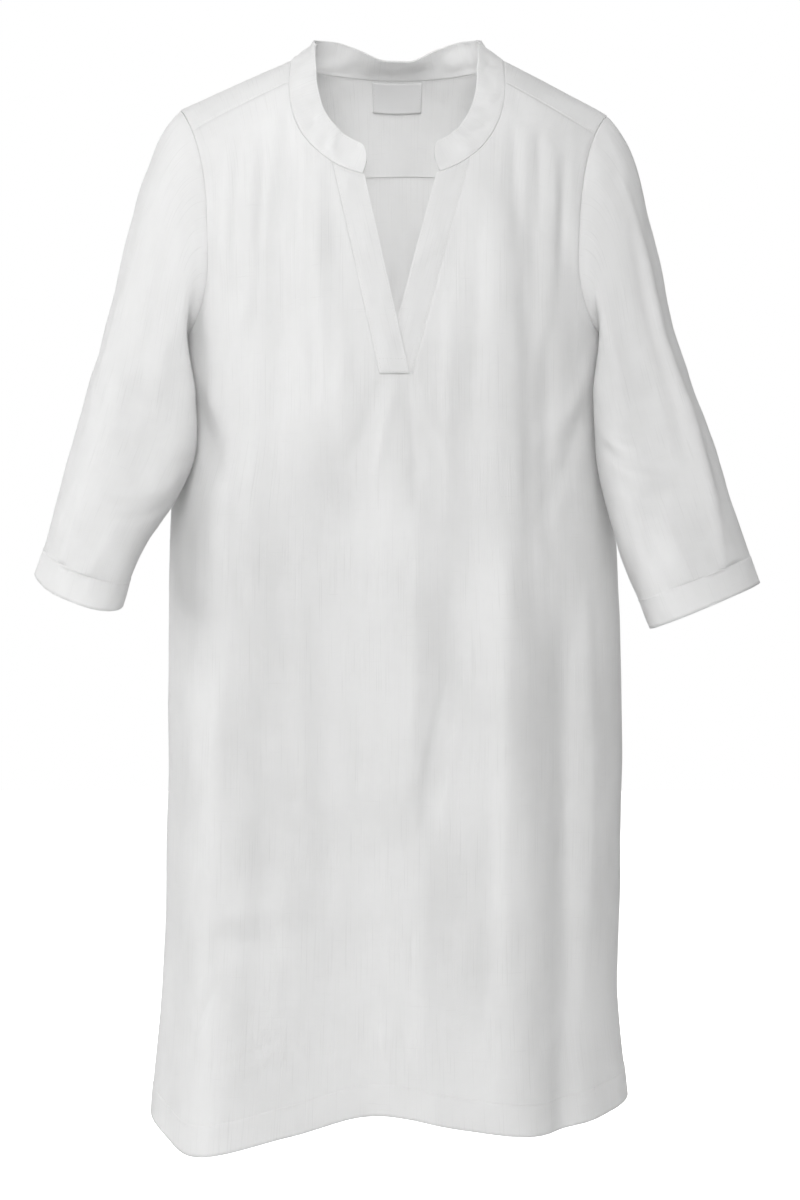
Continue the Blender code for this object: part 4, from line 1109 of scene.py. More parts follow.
@dataclass
class Sleeve:
    """One three-quarter sleeve, set into its armhole, with a turned cuff hem."""

    side: Side
    creases: tuple[Crease, ...]
    cap_rows: int = 7
    arm_rows: int = 10
    clearance: float = 0.005
    softness: float = 0.006
    squareness: float = 2.3
    yaw: float = math.radians(18)
    lift: float = 0.0013
    arm_length: float = 0.200
    cap_clear_share: float = 0.5
    step_along: float = 0.01
    cap_spring: float = 0.6
    cap_landing: float = 1.1
    cap_slope: float = 0.80
    underarm_rise: float = 0.2
    underarm_spring: float = 0.6
    armhole_centre_z: float = -0.150
    around: float = 0.055
    length: float = 0.50
    rumple_size: Vector = field(default_factory=lambda: Vector((0.030, 0.030, 0.055)))
    rumple_out: float = 0.0016
    fine_rumple_size: Vector = field(default_factory=lambda: Vector((0.012, 0.012, 0.026)))
    fine_rumple_out: float = 0.0005
    ease_width: float = 0.011
    ease_out: float = 0.0012
    ease_length: float = 0.030

    def __post_init__(self) -> None:
        """Read the ring table's columns."""
        rings = SLEEVE_RINGS[self.side]
        names = ("x", "y", "z", "half_width", "half_depth", "tilt", "lip")
        self.ring = {name: SmoothTable.read(rings, "at", name) for name in names}

    @property
    def total_rows(self) -> int:
        """All rows, from the armhole to the cuff."""
        return self.cap_rows + self.arm_rows + 2

    def armhole(self, share: float) -> Vector:
        """A point of the armhole seam, from the underarm up the front, over and down the back."""
        low_share = 2 * GRID.side / GRID.sleeve
        face = Face.FRONT if share <= 0.5 else Face.BACK
        rise = max(0.0, 2 * min(share, 1.0 - share))
        column, climb = TORSO.armhole_low(min(1.0, rise / low_share))
        if rise > low_share:
            climb = lerp(TORSO.armhole_low_climb, QUARTER_TURN, (rise - low_share) / (1.0 - low_share))
        point = TORSO.point(self.side.value * column, climb, face)
        inward = Vector((0, -point.y, self.armhole_centre_z - point.z)).normalized()
        return point + inward * self.lift + Vector((self.side.value * self.lift / 2, 0, 0))

    def ring_point(self, at: float, angle: float) -> Vector:
        """A point of a sleeve ring.

        Args:
            at: Share of the way from the upper arm to the cuff.
            angle: 0 on the outer side and a quarter turn at the back.

        Returns:
            The point, in metres.
        """
        ring = {name: table.at(at) for name, table in self.ring.items()}
        tilt = math.radians(ring["tilt"])
        flat = math.cos(tilt)
        across = Vector((self.side.value * flat * math.cos(self.yaw), flat * math.sin(self.yaw),
                         math.sin(tilt))) * ring["half_width"]
        deep = Vector((0.0, ring["half_depth"], 0.0))
        lip = Vector((0.0, 0.0, ring["lip"] * math.sin(angle)))
        centre = Vector((self.side.value * ring["x"], ring["y"], ring["z"]))
        wide, long = (math.copysign(abs(part) ** (2 / self.squareness), part)
                      for part in (math.cos(angle), math.sin(angle)))
        return centre + across * wide + deep * long + lip

    def fold_out(self, angle: float, share: float) -> float:
        """How far the long folds push the sleeve out."""
        total = 0.0
        for fold in SLEEVE_FOLDS[self.side]:
            if fold.top < share < fold.bottom:
                away = (angle - fold.angle + math.pi) % (2 * math.pi) - math.pi
                ends = math.sin(math.pi * (share - fold.top) / (fold.bottom - fold.top))
                total += fold.out * ends * math.exp(-((away / fold.width) ** 2))
        return total

    def clear_of_body(self, point: Vector, weight: float) -> Vector:
        """Move a sleeve point outwards where it would lie in the body of the dress."""
        side = self.side.value
        face = Face.FRONT if point.y < 0 else Face.BACK
        half_width, depth = TORSO.ring_half(min(point.z, UNDERARM_Z), side, face)
        reach = min(1.0, abs(point.y) / (depth + self.clearance))
        wall = (half_width + self.clearance) * math.sqrt(1.0 - reach * reach)
        inside = (wall - side * point.x) / self.softness
        push = self.softness * (math.log1p(math.exp(-abs(inside))) + max(inside, 0.0))
        return point + Vector((side * push * weight, 0.0, 0.0))

    def cap_point(self, share: float, angle: float) -> Vector:
        """A point between the armhole seam and the first ring."""
        start = self.armhole((angle + math.pi) / (2 * math.pi))
        end = self.ring_point(0.0, angle)
        after = self.ring_point(self.step_along, angle)
        reach = (end - start).length
        height = math.cos(angle)
        drop = -self.cap_slope * max(height, 0.0) + self.underarm_rise * max(-height, 0.0)
        away = Vector((self.side.value, 0.0, drop))
        spring = lerp(self.underarm_spring, self.cap_spring, (1.0 + height) / 2)
        leave = away.normalized() * reach * spring
        land = (after - end).normalized() * reach * self.cap_landing
        rest = 1.0 - share
        return (start * (1.0 + 2.0 * share) * rest**2 + leave * share * rest**2
                + end * (3.0 - 2.0 * share) * share**2 - land * share**2 * rest)

    def hem_start(self) -> float:
        """Share of the arm at which the cuff hem begins."""
        return 1.0 - TORSO.hem_depth / self.arm_length

    def place(self, column: float, row: float) -> Vector:
        """The middle of the cloth at a grid place."""
        angle = 2 * math.pi * column / GRID.sleeve - math.pi
        below = row - self.cap_rows
        weight = 1.0
        if below < 0.0:
            along = row / self.cap_rows
            point = self.cap_point(along, angle)
            weight = smooth(along / self.cap_clear_share)
        else:
            start, step = self.hem_start(), TORSO.hem_step / self.arm_length
            spots = [start * spot / self.arm_rows for spot in range(self.arm_rows)]
            spots += [start - step, start, 1.0]
            low = min(int(below), len(spots) - 2)
            point = self.ring_point(lerp(spots[low], spots[low + 1], below - low), angle)
        outward = Vector((self.side.value * math.cos(angle), math.sin(angle), 0.0))
        point += outward * self.fold_out(angle, row / self.total_rows)
        return self.clear_of_body(point, weight)

    def chart(self, column: float, row: float) -> tuple[float, float]:
        """Place on the cut cloth, in metres: across from the outer line, and down from the armhole."""
        angle = 2 * math.pi * column / GRID.sleeve - math.pi
        return angle * self.around, -row / self.total_rows * self.length

    def relief(self, across: float, along: float, spot: Vector) -> float:
        """Creases, eased fullness at the cap, soft unevenness and the roping of the cuff."""
        share = -along / self.length
        ease = self.ease_out * noise.noise(Vector((across / self.ease_width, self.side.value * 7.0, 0.0)))
        ease *= math.exp(along / self.ease_length)
        hem_rows = (1.0 - share) * self.total_rows
        roping = hem_roping(across, hem_rows) if hem_rows < 2.5 else 0.0
        return (total_push(self.creases, across, along) + ease + roping
                + rumple(spot, self.rumple_size, self.rumple_out)
                + rumple(spot, self.fine_rumple_size, self.fine_rumple_out))

    def thickness(self, column: float, row: float) -> float:
        """Share of the hem's full thickness."""
        return 1.0 - smooth((self.total_rows - row - HEM_FADE_START) / HEM_FADE_ROWS)

    def build(self) -> Shell:
        """Make the sleeve's shell."""
        spans = [(self.cap_rows, 6), (self.arm_rows, 4), (2, 8)]
        sheet = ClothSheet(
            name=f"sleeve_{self.side.name.lower()}_cloth",
            columns=grid_lines([(GRID.sleeve, 4)]), rows=grid_lines(spans, [0]),
            place=self.place, chart=self.chart,
            core=Vector((self.side.value * 0.232, -0.03, -0.30)), relief=self.relief,
            sewn=lambda column, row: row < 1.0, thickness=self.thickness, closed=True)
        return sheet.build()

    def cuff_path(self, drop: float) -> list[Vector]:
        """Places round the cuff, a share of the hem's depth above its edge."""
        return [self.place(GRID.sleeve * step / LINE_STEPS, self.total_rows - drop)
                for step in range(LINE_STEPS + 1)]


@dataclass(eq=False)
class BandCollar:
    """The low band collar, open at the front, of two layers of linen."""

    columns: int = 44
    rows: int = 3
    left_end_x: float = -0.027
    right_end_x: float = 0.041
    front_share: float = 0.21
    length: float = 0.62
    lift: float = 0.0006
    end_round: float = 0.016
    end_height: float = 0.007
    step_along: float = 0.01
    rumple_size: Vector = field(default_factory=lambda: Vector((0.022, 0.022, 0.018)))
    rumple_out: float = 0.00216
    pucker_length: float = 0.013
    pucker_out: float = 0.00105
    seam_calm: float = 0.012
    stitch_inset: float = 0.22
    creases: tuple[Crease, ...] = (
        Crease((0.030, 0.002), (0.052, 0.026), 0.0040, 0.0016, bow=0.002),
        Crease((0.048, 0.003), (0.060, 0.022), 0.0035, -0.0013),
        Crease((0.072, 0.006), (0.098, 0.024), 0.0045, -0.0014, bow=-0.002),
        Crease((0.500, 0.004), (0.520, 0.024), 0.0040, 0.0015, bow=0.002),
        Crease((0.540, 0.006), (0.570, 0.020), 0.0045, -0.0014),
        Crease((0.470, 0.010), (0.490, 0.025), 0.0040, -0.0012),
        Crease((0.270, 0.004), (0.350, 0.020), 0.0060, 0.0010, bow=0.003),
    )

    @functools.cache
    def seam(self, share: float) -> Vector:
        """A point of the whole neck seam, from the left front end round the back to the right."""
        if share < self.front_share:
            turn = lerp(TORSO.neck_front_turn(self.left_end_x), 0.0, share / self.front_share)
            return TORSO.point(*TORSO.at_height(*TORSO.neck_front(-1, turn)), Face.FRONT)
        if share > 1.0 - self.front_share:
            turn = lerp(TORSO.neck_front_turn(self.right_end_x), 0.0, (1.0 - share) / self.front_share)
            return TORSO.point(*TORSO.at_height(*TORSO.neck_front(1, turn)), Face.FRONT)
        return TORSO.point(*TORSO.neck_seam((share - self.front_share) / (1.0 - 2 * self.front_share)))

    def height(self, share: float) -> float:
        """Height of the band at a share of its length, rounded down at the front ends."""
        near_end = min(share, 1.0 - share)
        corner = min(1.0, near_end * self.length / self.end_round)
        full = BAND["height"].at(near_end)
        return lerp(self.end_height, full, math.sqrt(1.0 - (1.0 - corner) ** 2))

    def place(self, column: float, row: float) -> Vector:
        """The middle of the cloth at a grid place."""
        share = column / self.columns
        seam = self.seam(share)
        before = self.seam(max(share - self.step_along, 0.0))
        after = self.seam(min(share + self.step_along, 1.0))
        along = (after - before).normalized()
        lean = math.radians(BAND["lean"].at(min(share, 1.0 - share)))
        inward = Vector((TORSO.neck_centre_x - seam.x, -seam.y, 0.0)).normalized()
        rise = Vector((0, 0, math.cos(lean))) + inward * math.sin(lean)
        rise = (rise - along * rise.dot(along)).normalized()
        return seam + rise * (self.lift + self.height(share) * row / self.rows)

    def chart(self, column: float, row: float) -> tuple[float, float]:
        """Place on the cut cloth, in metres."""
        share = column / self.columns
        return share * self.length, self.height(share) * row / self.rows

    def relief(self, across: float, along: float, spot: Vector) -> float:
        """Creases, puckers along both lines of stitches and soft unevenness."""
        puckers = noise.noise(Vector((across / self.pucker_length, along / self.pucker_length, 5.0)))
        return (total_push(self.creases, across, along) + self.pucker_out * puckers
                + rumple(spot, self.rumple_size, self.rumple_out) * smooth(along / self.seam_calm))

    def build(self) -> Shell:
        """Make the collar's shell."""
        sheet = ClothSheet(
            name="neckband_cloth", columns=grid_lines([(self.columns, 5)], [0, self.columns]),
            rows=grid_lines([(self.rows, 5)], [0, self.rows]),
            place=self.place, chart=self.chart, core=Vector((0.003, -0.01, -0.03)),
            relief=self.relief, sewn=lambda column, row: row == 0.0, wall=0.0019, hem_wall=0.0021,
            seam_fade=0.004)
        return sheet.build()

    def edge_path(self, row: float) -> list[Vector]:
        """Places along the band at a share of its height."""
        return [self.place(self.columns * step / 300, row) for step in range(3, 298)]


@dataclass
class SlitBand:
    """One facing band beside the slit, with a line of stitches along each edge."""

    side: Side
    columns: int = 3
    rows: int = 14
    width: float = 0.026
    lap: float = 0.0011
    lap_start_z: float = -0.200
    lap_full_z: float = -0.232
    cut_length: float = 0.19
    sewn_out: float = 0.0003
    stitch_columns: tuple[float, float] = (0.22, 2.80)
    foot_rows: tuple[float, float] = (0.16, 1.0)
    rumple_size: Vector = field(default_factory=lambda: Vector((0.016, 0.03, 0.022)))
    rumple_out: float = 0.00162

    def place(self, column: float, row: float) -> Vector:
        """The middle of the cloth at a grid place."""
        side = self.side.value
        inward = -side * (SEAM_GAP / 2 + self.width * column / self.columns)
        z = TORSO.slit_bottom_z
        for _ in range(SETTLE_TURNS):
            x = TORSO.slit_edge(side, z) + inward
            _, top = TORSO.neck_front(side, TORSO.neck_front_turn(x))
            z = lerp(TORSO.slit_bottom_z, top - TORSO.neck_edge_trim, row / self.rows)
        lap = self.lap * smooth((z - self.lap_start_z) / (self.lap_full_z - self.lap_start_z))
        return TORSO.point(*TORSO.at_height(x, z), Face.FRONT, out=-side * lap)

    def chart(self, column: float, row: float) -> tuple[float, float]:
        """Place on the cut cloth, in metres."""
        return self.width * column / self.columns, row / self.rows * self.cut_length

    def relief(self, across: float, along: float, spot: Vector) -> float:
        """Soft unevenness, and the small rise of a band's doubled cloth."""
        crown = math.sin(math.pi * min(max(across / self.width, 0.0), 1.0))
        return rumple(spot, self.rumple_size, self.rumple_out) * crown + self.sewn_out * crown

    def build(self) -> Shell:
        """Make the band's shell."""
        sheet = ClothSheet(
            name=f"placket_{self.side.name.lower()}_cloth",
            columns=grid_lines([(self.columns, 5)], [0, self.columns]),
            rows=grid_lines([(self.rows, 6)], [0, self.rows]),
            place=self.place, chart=self.chart, core=Vector((0.0, 0.0, -0.2)), relief=self.relief,
            sewn=lambda column, row: column == 0.0 or row in (0.0, self.rows), wall=0.0014,
            hem_wall=0.0016, seam_fade=0.003)
        return sheet.build()

    def stitch_paths(self) -> list[list[Vector]]:
        """Lines along the outer and the inner edge."""
        return [[self.place(column, self.rows * step / 90) for step in range(2, 89)]
                for column in self.stitch_columns]

    def foot_paths(self) -> list[list[Vector]]:
        """Two level lines that hold the foot of the lapped bands."""
        return [[self.place(self.columns * step / 20, row) for step in range(1, 20)]
                for row in self.foot_rows]


@dataclass
class NeckLabel:
    """The bare satin label inside the back of the neck."""

    width: float = 0.048
    height: float = 0.030
    centre_x: float = 0.003
    start: float = 0.002
    gap: float = 0.0015
    arch_radius: float = 0.205
    curl: float = 0.0006
    stitch_inset: float = 0.16
    columns: int = 4
    rows: int = 2

    def place(self, column: float, row: float) -> Vector:
        """The middle of the ribbon at a grid place."""
        x = self.centre_x + self.width * (column / self.columns - 0.5)
        angle = math.acos((TORSO.neck_centre_x - x) / TORSO.neck_half_width)
        place, climb = TORSO.at_depth(x, TORSO.back_neck_y * math.sin(angle))
        below = self.start + self.height * row / self.rows
        lift = self.curl * math.sin(math.pi * row / self.rows) * math.cos(math.pi * column / self.columns)
        return TORSO.point(place, climb - below / self.arch_radius, Face.BACK, out=-self.gap + lift)

    def chart(self, column: float, row: float) -> tuple[float, float]:
        """Place on the cut ribbon, in metres."""
        return self.width * column / self.columns, self.height * row / self.rows

    def build(self) -> Shell:
        """Make the label's shell."""
        sheet = ClothSheet(
            name="neck_label_ribbon", columns=grid_lines([(self.columns, 8)]),
            rows=grid_lines([(self.rows, 8)]), place=self.place, chart=self.chart,
            core=Vector((0.0, 0.2, -0.02)), sewn=lambda column, row: False, wall=0.0004,
            hem_wall=0.0006, thickness=lambda column, row: float(column in (0, self.columns)))
        return sheet.build()

    def stitch_paths(self) -> list[list[Vector]]:
        """Lines down the two folded ends."""
        return [[self.place(column, self.rows * step / 20) for step in range(1, 20)]
                for column in (self.stitch_inset, self.columns - self.stitch_inset)]


BAND = {name: SmoothTable.read(BAND_LINE, "at", name) for name in ("lean", "height")}


@dataclass
class Sewing:
    """Lines of lockstitch in linen thread, each stitch a small rounded length of thread."""

    pitch: float = 0.0031
    stitch_length: float = 0.0025
    thread: float = 0.00022

    def walk(self, path: Sequence[Vector]) -> list[tuple[Vector, Vector]]:
        """Places and directions at each stitch along a path.

        Args:
            path: Points close together along the line.

        Returns:
            Pairs of place and direction, one for each stitch.
        """
        stitches, carried = [], self.pitch / 2
        for start, end in zip(path, path[1:]):
            run = end - start
            while carried < run.length:
                stitches.append((start + run.normalized() * carried, run.normalized()))
                carried += self.pitch
            carried -= run.length
        return stitches

    def sew(self, name: str, shell: Shell, paths: Iterable[Sequence[Vector]],
            inset: float = 0.0) -> bpy.types.Object:
        """Sew lines onto the outside of a shell.

        Args:
            name: Name of the joined stitches.
            shell: The cloth that they are sewn on.
            paths: The lines, each near the cloth.
            inset: Distance to the side of each line.

        Returns:
            One object with all the stitches.
        """
        mesh = bmesh.new()
        for path in paths:
            for point, along in self.walk(path):
                _, normal, _, _ = shell.tree.find_nearest(point)
                spot, normal, _, _ = shell.tree.find_nearest(point + along.cross(normal) * inset)
                across = along.cross(normal).normalized()
                along = normal.cross(across)
                made = bmesh.ops.create_icosphere(mesh, subdivisions=1, radius=1.0)
                centre = spot + normal * (shell.wall / 2 + self.thread * 0.25)
                for vertex in made["verts"]:
                    length, width, height = vertex.co
                    vertex.co = (centre + along * length * self.stitch_length / 2
                                 + across * width * self.thread + normal * height * self.thread)
        data = bpy.data.meshes.new(name)
        mesh.to_mesh(data)
        mesh.free()
        data.shade_smooth()
        piece = bpy.data.objects.new(name, data)
        bpy.context.scene.collection.objects.link(piece)
        return piece


def socket(group: bpy.types.NodeTree, name: str, way: str, kind: str, value: float = 0.0) -> None:
    """Add a named socket to a node group.

    Args:
        group: The group.
        name: The socket's name.
        way: INPUT or OUTPUT.
        kind: Float or Vector, as in Blender's socket types.
        value: The default of a number input.
    """
    made = group.interface.new_socket(name=name, in_out=way, socket_type=f"NodeSocket{kind}")
    if way == "INPUT" and kind == "Float":
        made.default_value = value


class NodeLayer:
    """Short calls for placing and joining the nodes of one tree."""

    def __init__(self, tree: bpy.types.NodeTree) -> None:
        """Work on a tree."""
        self.tree = tree

    def math(self, operation: str, first: object, second: object = 0.0, third: object = 0.0) -> object:
        """A Math node; numbers are set on its sockets and other inputs are joined."""
        node = self.tree.nodes.new("ShaderNodeMath")
        node.operation = operation
        for index, value in enumerate((first, second, third)):
            self.feed(node.inputs[index], value)
        return node.outputs[0]

    def feed(self, target: object, value: object) -> None:
        """Set a number or vector on a socket, or join another socket to it."""
        if isinstance(value, bpy.types.NodeSocket):
            self.tree.links.new(value, target)
        else:
            target.default_value = value

    def noise(self, vector: object, scale: Sequence[float], detail: float, roughness: float) -> object:
        """A noise texture over a vector stretched by scale."""
        stretch = self.tree.nodes.new("ShaderNodeVectorMath")
        stretch.operation = "MULTIPLY"
        self.feed(stretch.inputs[0], vector)
        stretch.inputs[1].default_value = scale
        node = self.tree.nodes.new("ShaderNodeTexNoise")
        node.noise_dimensions = "3D"
        self.tree.links.new(stretch.outputs[0], node.inputs["Vector"])
        node.inputs["Scale"].default_value = 1.0
        node.inputs["Detail"].default_value = detail
        node.inputs["Roughness"].default_value = roughness
        return node.outputs[0]

    def ramp(self, value: object, low: float, high: float) -> object:
        """Ease a value from 0 at low to 1 at high."""
        node = self.tree.nodes.new("ShaderNodeMapRange")
        node.interpolation_type = "SMOOTHSTEP"
        self.feed(node.inputs["Value"], value)
        node.inputs["From Min"].default_value = low
        node.inputs["From Max"].default_value = high
        return node.outputs[0]


def linen_weave_group() -> bpy.types.NodeTree:
    """Build the plain weave with its slubs once.

    Returns:
        A group that takes a place on the cloth in metres and gives the weave's height, a mask of
        thick threads and a mask of thin, open places.
    """
    group = bpy.data.node_groups.new("linen_weave", "ShaderNodeTree")
    socket(group, "Cloth", "INPUT", "Vector")
    socket(group, "Thread", "INPUT", "Float", 0.0005)
    for name in ("Height", "Slub", "Open"):
        socket(group, name, "OUTPUT", "Float")
    layer = NodeLayer(group)
    start = group.nodes.new("NodeGroupInput")
    end = group.nodes.new("NodeGroupOutput")
    cloth = start.outputs["Cloth"]
    parts = group.nodes.new("ShaderNodeSeparateXYZ")
    group.links.new(cloth, parts.inputs[0])
    turn = layer.math("DIVIDE", math.pi, start.outputs["Thread"])
    warp = layer.math("SINE", layer.math("MULTIPLY", parts.outputs["X"], turn))
    weft = layer.math("SINE", layer.math("MULTIPLY", parts.outputs["Y"], turn))
    over = layer.math("GREATER_THAN", layer.math("MULTIPLY", warp, weft), 0.0)
    warp_rise = layer.math("ABSOLUTE", warp)
    weft_rise = layer.math("ABSOLUTE", weft)
    step = layer.math("SUBTRACT", warp_rise, weft_rise)
    woven = layer.math("MULTIPLY_ADD", over, step, weft_rise)
    level = layer.noise(cloth, (30.0, 1300.0, 1.0), 2.0, 0.55)
    upright = layer.noise(cloth, (1150.0, 12.0, 1.0), 2.0, 0.55)
    level_slub = layer.ramp(level, 0.66, 0.80)
    upright_slub = layer.ramp(upright, 0.58, 0.72)
    slub = layer.math("MAXIMUM", level_slub, upright_slub)
    level_open = layer.ramp(level, 0.36, 0.22)
    upright_open = layer.ramp(upright, 0.42, 0.30)
    group.links.new(layer.math("MAXIMUM", level_open, upright_open), end.inputs["Open"])
    group.links.new(slub, end.inputs["Slub"])
    group.links.new(layer.math("MULTIPLY_ADD", slub, 0.9, layer.math("MULTIPLY", woven, 0.5)),
                    end.inputs["Height"])
    return group


@dataclass(frozen=True)
class ClothFinish:
    """A woven finish: its colour, gloss and how strongly its weave shows."""

    name: str
    colour: tuple[float, float, float]
    shade: tuple[float, float, float]
    roughness: float = 0.86
    sheen: float = 0.25
    thread: float = 0.0005
    weave_depth: float = 0.00030
    weave_strength: float = 0.55
    blotch: float = 0.25
    see_through: float = 0.40
    thin_places: float = 0.28
    thick_threads: float = 0.15
    slub_gloss: float = -0.10
    sheen_roughness: float = 0.45
    specular: float = 0.25

    def material(self, weave: bpy.types.NodeTree) -> bpy.types.Material:
        """Build the material.

        Args:
            weave: The shared weave group.

        Returns:
            The material, which reads the piece's own cloth UV map.
        """
        made = bpy.data.materials.new(self.name)
        made.use_nodes = True
        tree = made.node_tree
        layer = NodeLayer(tree)
        shader = tree.nodes["Principled BSDF"]
        place = tree.nodes.new("ShaderNodeUVMap")
        place.uv_map = "cloth"
        group = tree.nodes.new("ShaderNodeGroup")
        group.node_tree = weave
        tree.links.new(place.outputs["UV"], group.inputs["Cloth"])
        group.inputs["Thread"].default_value = self.thread
        cloud = layer.noise(place.outputs["UV"], (13.0, 8.0, 1.0), 4.0, 0.6)
        blotch = layer.math("MULTIPLY", layer.ramp(cloud, 0.35, 0.70), self.blotch)
        shaded = layer.math("MULTIPLY_ADD", group.outputs["Open"], self.thin_places, blotch)
        thick = layer.math("MULTIPLY", group.outputs["Slub"], self.thick_threads)
        bright = layer.math("SUBTRACT", shaded, thick)
        mix = tree.nodes.new("ShaderNodeMix")
        mix.data_type = "RGBA"
        layer.feed(mix.inputs["Factor"], layer.math("MAXIMUM", bright, 0.0))
        mix.inputs["A"].default_value = (*self.colour, 1.0)
        mix.inputs["B"].default_value = (*self.shade, 1.0)
        tree.links.new(mix.outputs["Result"], shader.inputs["Base Color"])
        rough = layer.math("MULTIPLY_ADD", group.outputs["Slub"], self.slub_gloss, self.roughness)
        tree.links.new(rough, shader.inputs["Roughness"])
        bump = tree.nodes.new("ShaderNodeBump")
        bump.inputs["Strength"].default_value = self.weave_strength
        bump.inputs["Distance"].default_value = self.weave_depth
        tree.links.new(group.outputs["Height"], bump.inputs["Height"])
        tree.links.new(bump.outputs["Normal"], shader.inputs["Normal"])
        shader.inputs["Sheen Weight"].default_value = self.sheen
        shader.inputs["Sheen Roughness"].default_value = self.sheen_roughness
        shader.inputs["Specular IOR Level"].default_value = self.specular
        glow = tree.nodes.new("ShaderNodeBsdfTranslucent")
        tree.links.new(mix.outputs["Result"], glow.inputs["Color"])
        tree.links.new(bump.outputs["Normal"], glow.inputs["Normal"])
        both = tree.nodes.new("ShaderNodeMixShader")
        both.inputs["Fac"].default_value = self.see_through
        tree.links.new(shader.outputs["BSDF"], both.inputs[1])
        tree.links.new(glow.outputs["BSDF"], both.inputs[2])
        tree.links.new(both.outputs["Shader"], tree.nodes["Material Output"].inputs["Surface"])
        return made


@dataclass(frozen=True)
class ThreadFinish:
    """The sewing thread: twisted, a little glossier than the linen."""

    name: str = "linen_thread"
    colour: tuple[float, float, float] = (0.86, 0.86, 0.85)
    shade: tuple[float, float, float] = (0.74, 0.74, 0.73)
    twist: float = 1400.0

    def material(self) -> bpy.types.Material:
        """Build the material on Object coordinates."""
        made = bpy.data.materials.new(self.name)
        made.use_nodes = True
        tree = made.node_tree
        layer = NodeLayer(tree)
        shader = tree.nodes["Principled BSDF"]
        place = tree.nodes.new("ShaderNodeTexCoord")
        twist = layer.noise(place.outputs["Object"], (self.twist,) * 3, 2.0, 0.5)
        mix = tree.nodes.new("ShaderNodeMix")
        mix.data_type = "RGBA"
        layer.feed(mix.inputs["Factor"], layer.ramp(twist, 0.35, 0.65))
        mix.inputs["A"].default_value = (*self.shade, 1.0)
        mix.inputs["B"].default_value = (*self.colour, 1.0)
        tree.links.new(mix.outputs["Result"], shader.inputs["Base Color"])
        shader.inputs["Roughness"].default_value = 0.6
        shader.inputs["Sheen Weight"].default_value = 0.2
        return made


LINEN = ClothFinish("white_linen", (0.87, 0.87, 0.868), (0.70, 0.70, 0.695))
SATIN = ClothFinish("label_satin", (0.90, 0.90, 0.90), (0.84, 0.84, 0.84), roughness=0.42, sheen=0.1,
                    thread=0.00025, weave_depth=0.00008, weave_strength=0.25, blotch=0.08)


@dataclass(frozen=True)
class Lamp:
    """A soft square lamp: where it hangs, its side in metres and its power in watts."""

    name: str
    place: tuple[float, float, float]
    size: float
    watts: float


@dataclass
class Studio:
    """Plain pale floor, soft lights and the camera that looks at the dress from the front."""

    aim: Vector = field(default_factory=lambda: Vector((0.0057, 0.0, -0.500)))
    distance: float = 2.0
    frame_height: float = 1.116
    sensor: float = 36.0
    floor_z: float = -1.30
    floor_reach: float = 7.0
    white: float = 1.0
    fill: float = 0.31
    lamps: tuple[Lamp, ...] = (
        Lamp("front_light", place=(-0.2, -2.6, 0.6), size=1.4, watts=41.0),
        Lamp("side_light", place=(-2.4, -0.2, 0.3), size=1.3, watts=29.0),
        Lamp("high_light", place=(0.0, -1.6, 1.5), size=1.2, watts=21.0),
        Lamp("back_light", place=(0.3, 2.4, 0.2), size=1.8, watts=52.0),
    )

    def camera(self) -> None:
        """Place the camera level with the middle of the dress."""
        data = bpy.data.cameras.new("camera")
        data.sensor_width = self.sensor
        data.lens = self.sensor * self.distance / self.frame_height
        camera = bpy.data.objects.new("camera", data)
        camera.location = self.aim + Vector((0.0, -self.distance, 0.0))
        camera.rotation_euler = (QUARTER_TURN, 0.0, 0.0)
        bpy.context.scene.collection.objects.link(camera)
        bpy.context.scene.camera = camera

    def hang(self, lamp: Lamp) -> None:
        """Hang a lamp so that it faces the dress."""
        data = bpy.data.lights.new(lamp.name, "AREA")
        data.shape = "SQUARE"
        data.size = lamp.size
        data.energy = lamp.watts
        piece = bpy.data.objects.new(lamp.name, data)
        piece.location = lamp.place
        piece.rotation_euler = (self.aim - Vector(lamp.place)).to_track_quat("-Z", "Y").to_euler()
        bpy.context.scene.collection.objects.link(piece)

    def floor(self) -> None:
        """Lay a wide white floor under the dress."""
        mesh = bmesh.new()
        bmesh.ops.create_grid(mesh, x_segments=1, y_segments=1, size=self.floor_reach)
        bmesh.ops.translate(mesh, verts=mesh.verts, vec=(0.0, 0.0, self.floor_z))
        data = bpy.data.meshes.new("studio_floor")
        mesh.to_mesh(data)
        mesh.free()
        floor = bpy.data.objects.new("studio_floor", data)
        bpy.context.scene.collection.objects.link(floor)
        paper = bpy.data.materials.new("studio_paper")
        paper.use_nodes = True
        shader = paper.node_tree.nodes["Principled BSDF"]
        shader.inputs["Base Color"].default_value = (0.9, 0.9, 0.9, 1.0)
        shader.inputs["Roughness"].default_value = 0.9
        shader.inputs["Emission Color"].default_value = (1.0, 1.0, 1.0, 1.0)
        path = paper.node_tree.nodes.new("ShaderNodeLightPath")
        paper.node_tree.links.new(path.outputs["Is Camera Ray"], shader.inputs["Emission Strength"])
        data.materials.append(paper)

    def world(self) -> None:
        """Light the room evenly, with a plain white beyond the floor."""
        world = bpy.data.worlds.new("studio")
        world.use_nodes = True
        tree = world.node_tree
        background = tree.nodes["Background"]
        path = tree.nodes.new("ShaderNodeLightPath")
        strength = tree.nodes.new("ShaderNodeMix")
        strength.data_type = "FLOAT"
        strength.inputs[2].default_value = self.fill
        strength.inputs[3].default_value = self.white
        tree.links.new(path.outputs["Is Camera Ray"], strength.inputs[0])
        tree.links.new(strength.outputs[0], background.inputs["Strength"])
        background.inputs["Color"].default_value = (1.0, 1.0, 1.0, 1.0)
        bpy.context.scene.world = world

    def build(self) -> None:
        """Set the whole studio up."""
        self.camera()
        self.floor()
        self.world()
        for lamp in self.lamps:
            self.hang(lamp)
        bpy.context.scene.view_settings.view_transform = "Standard"


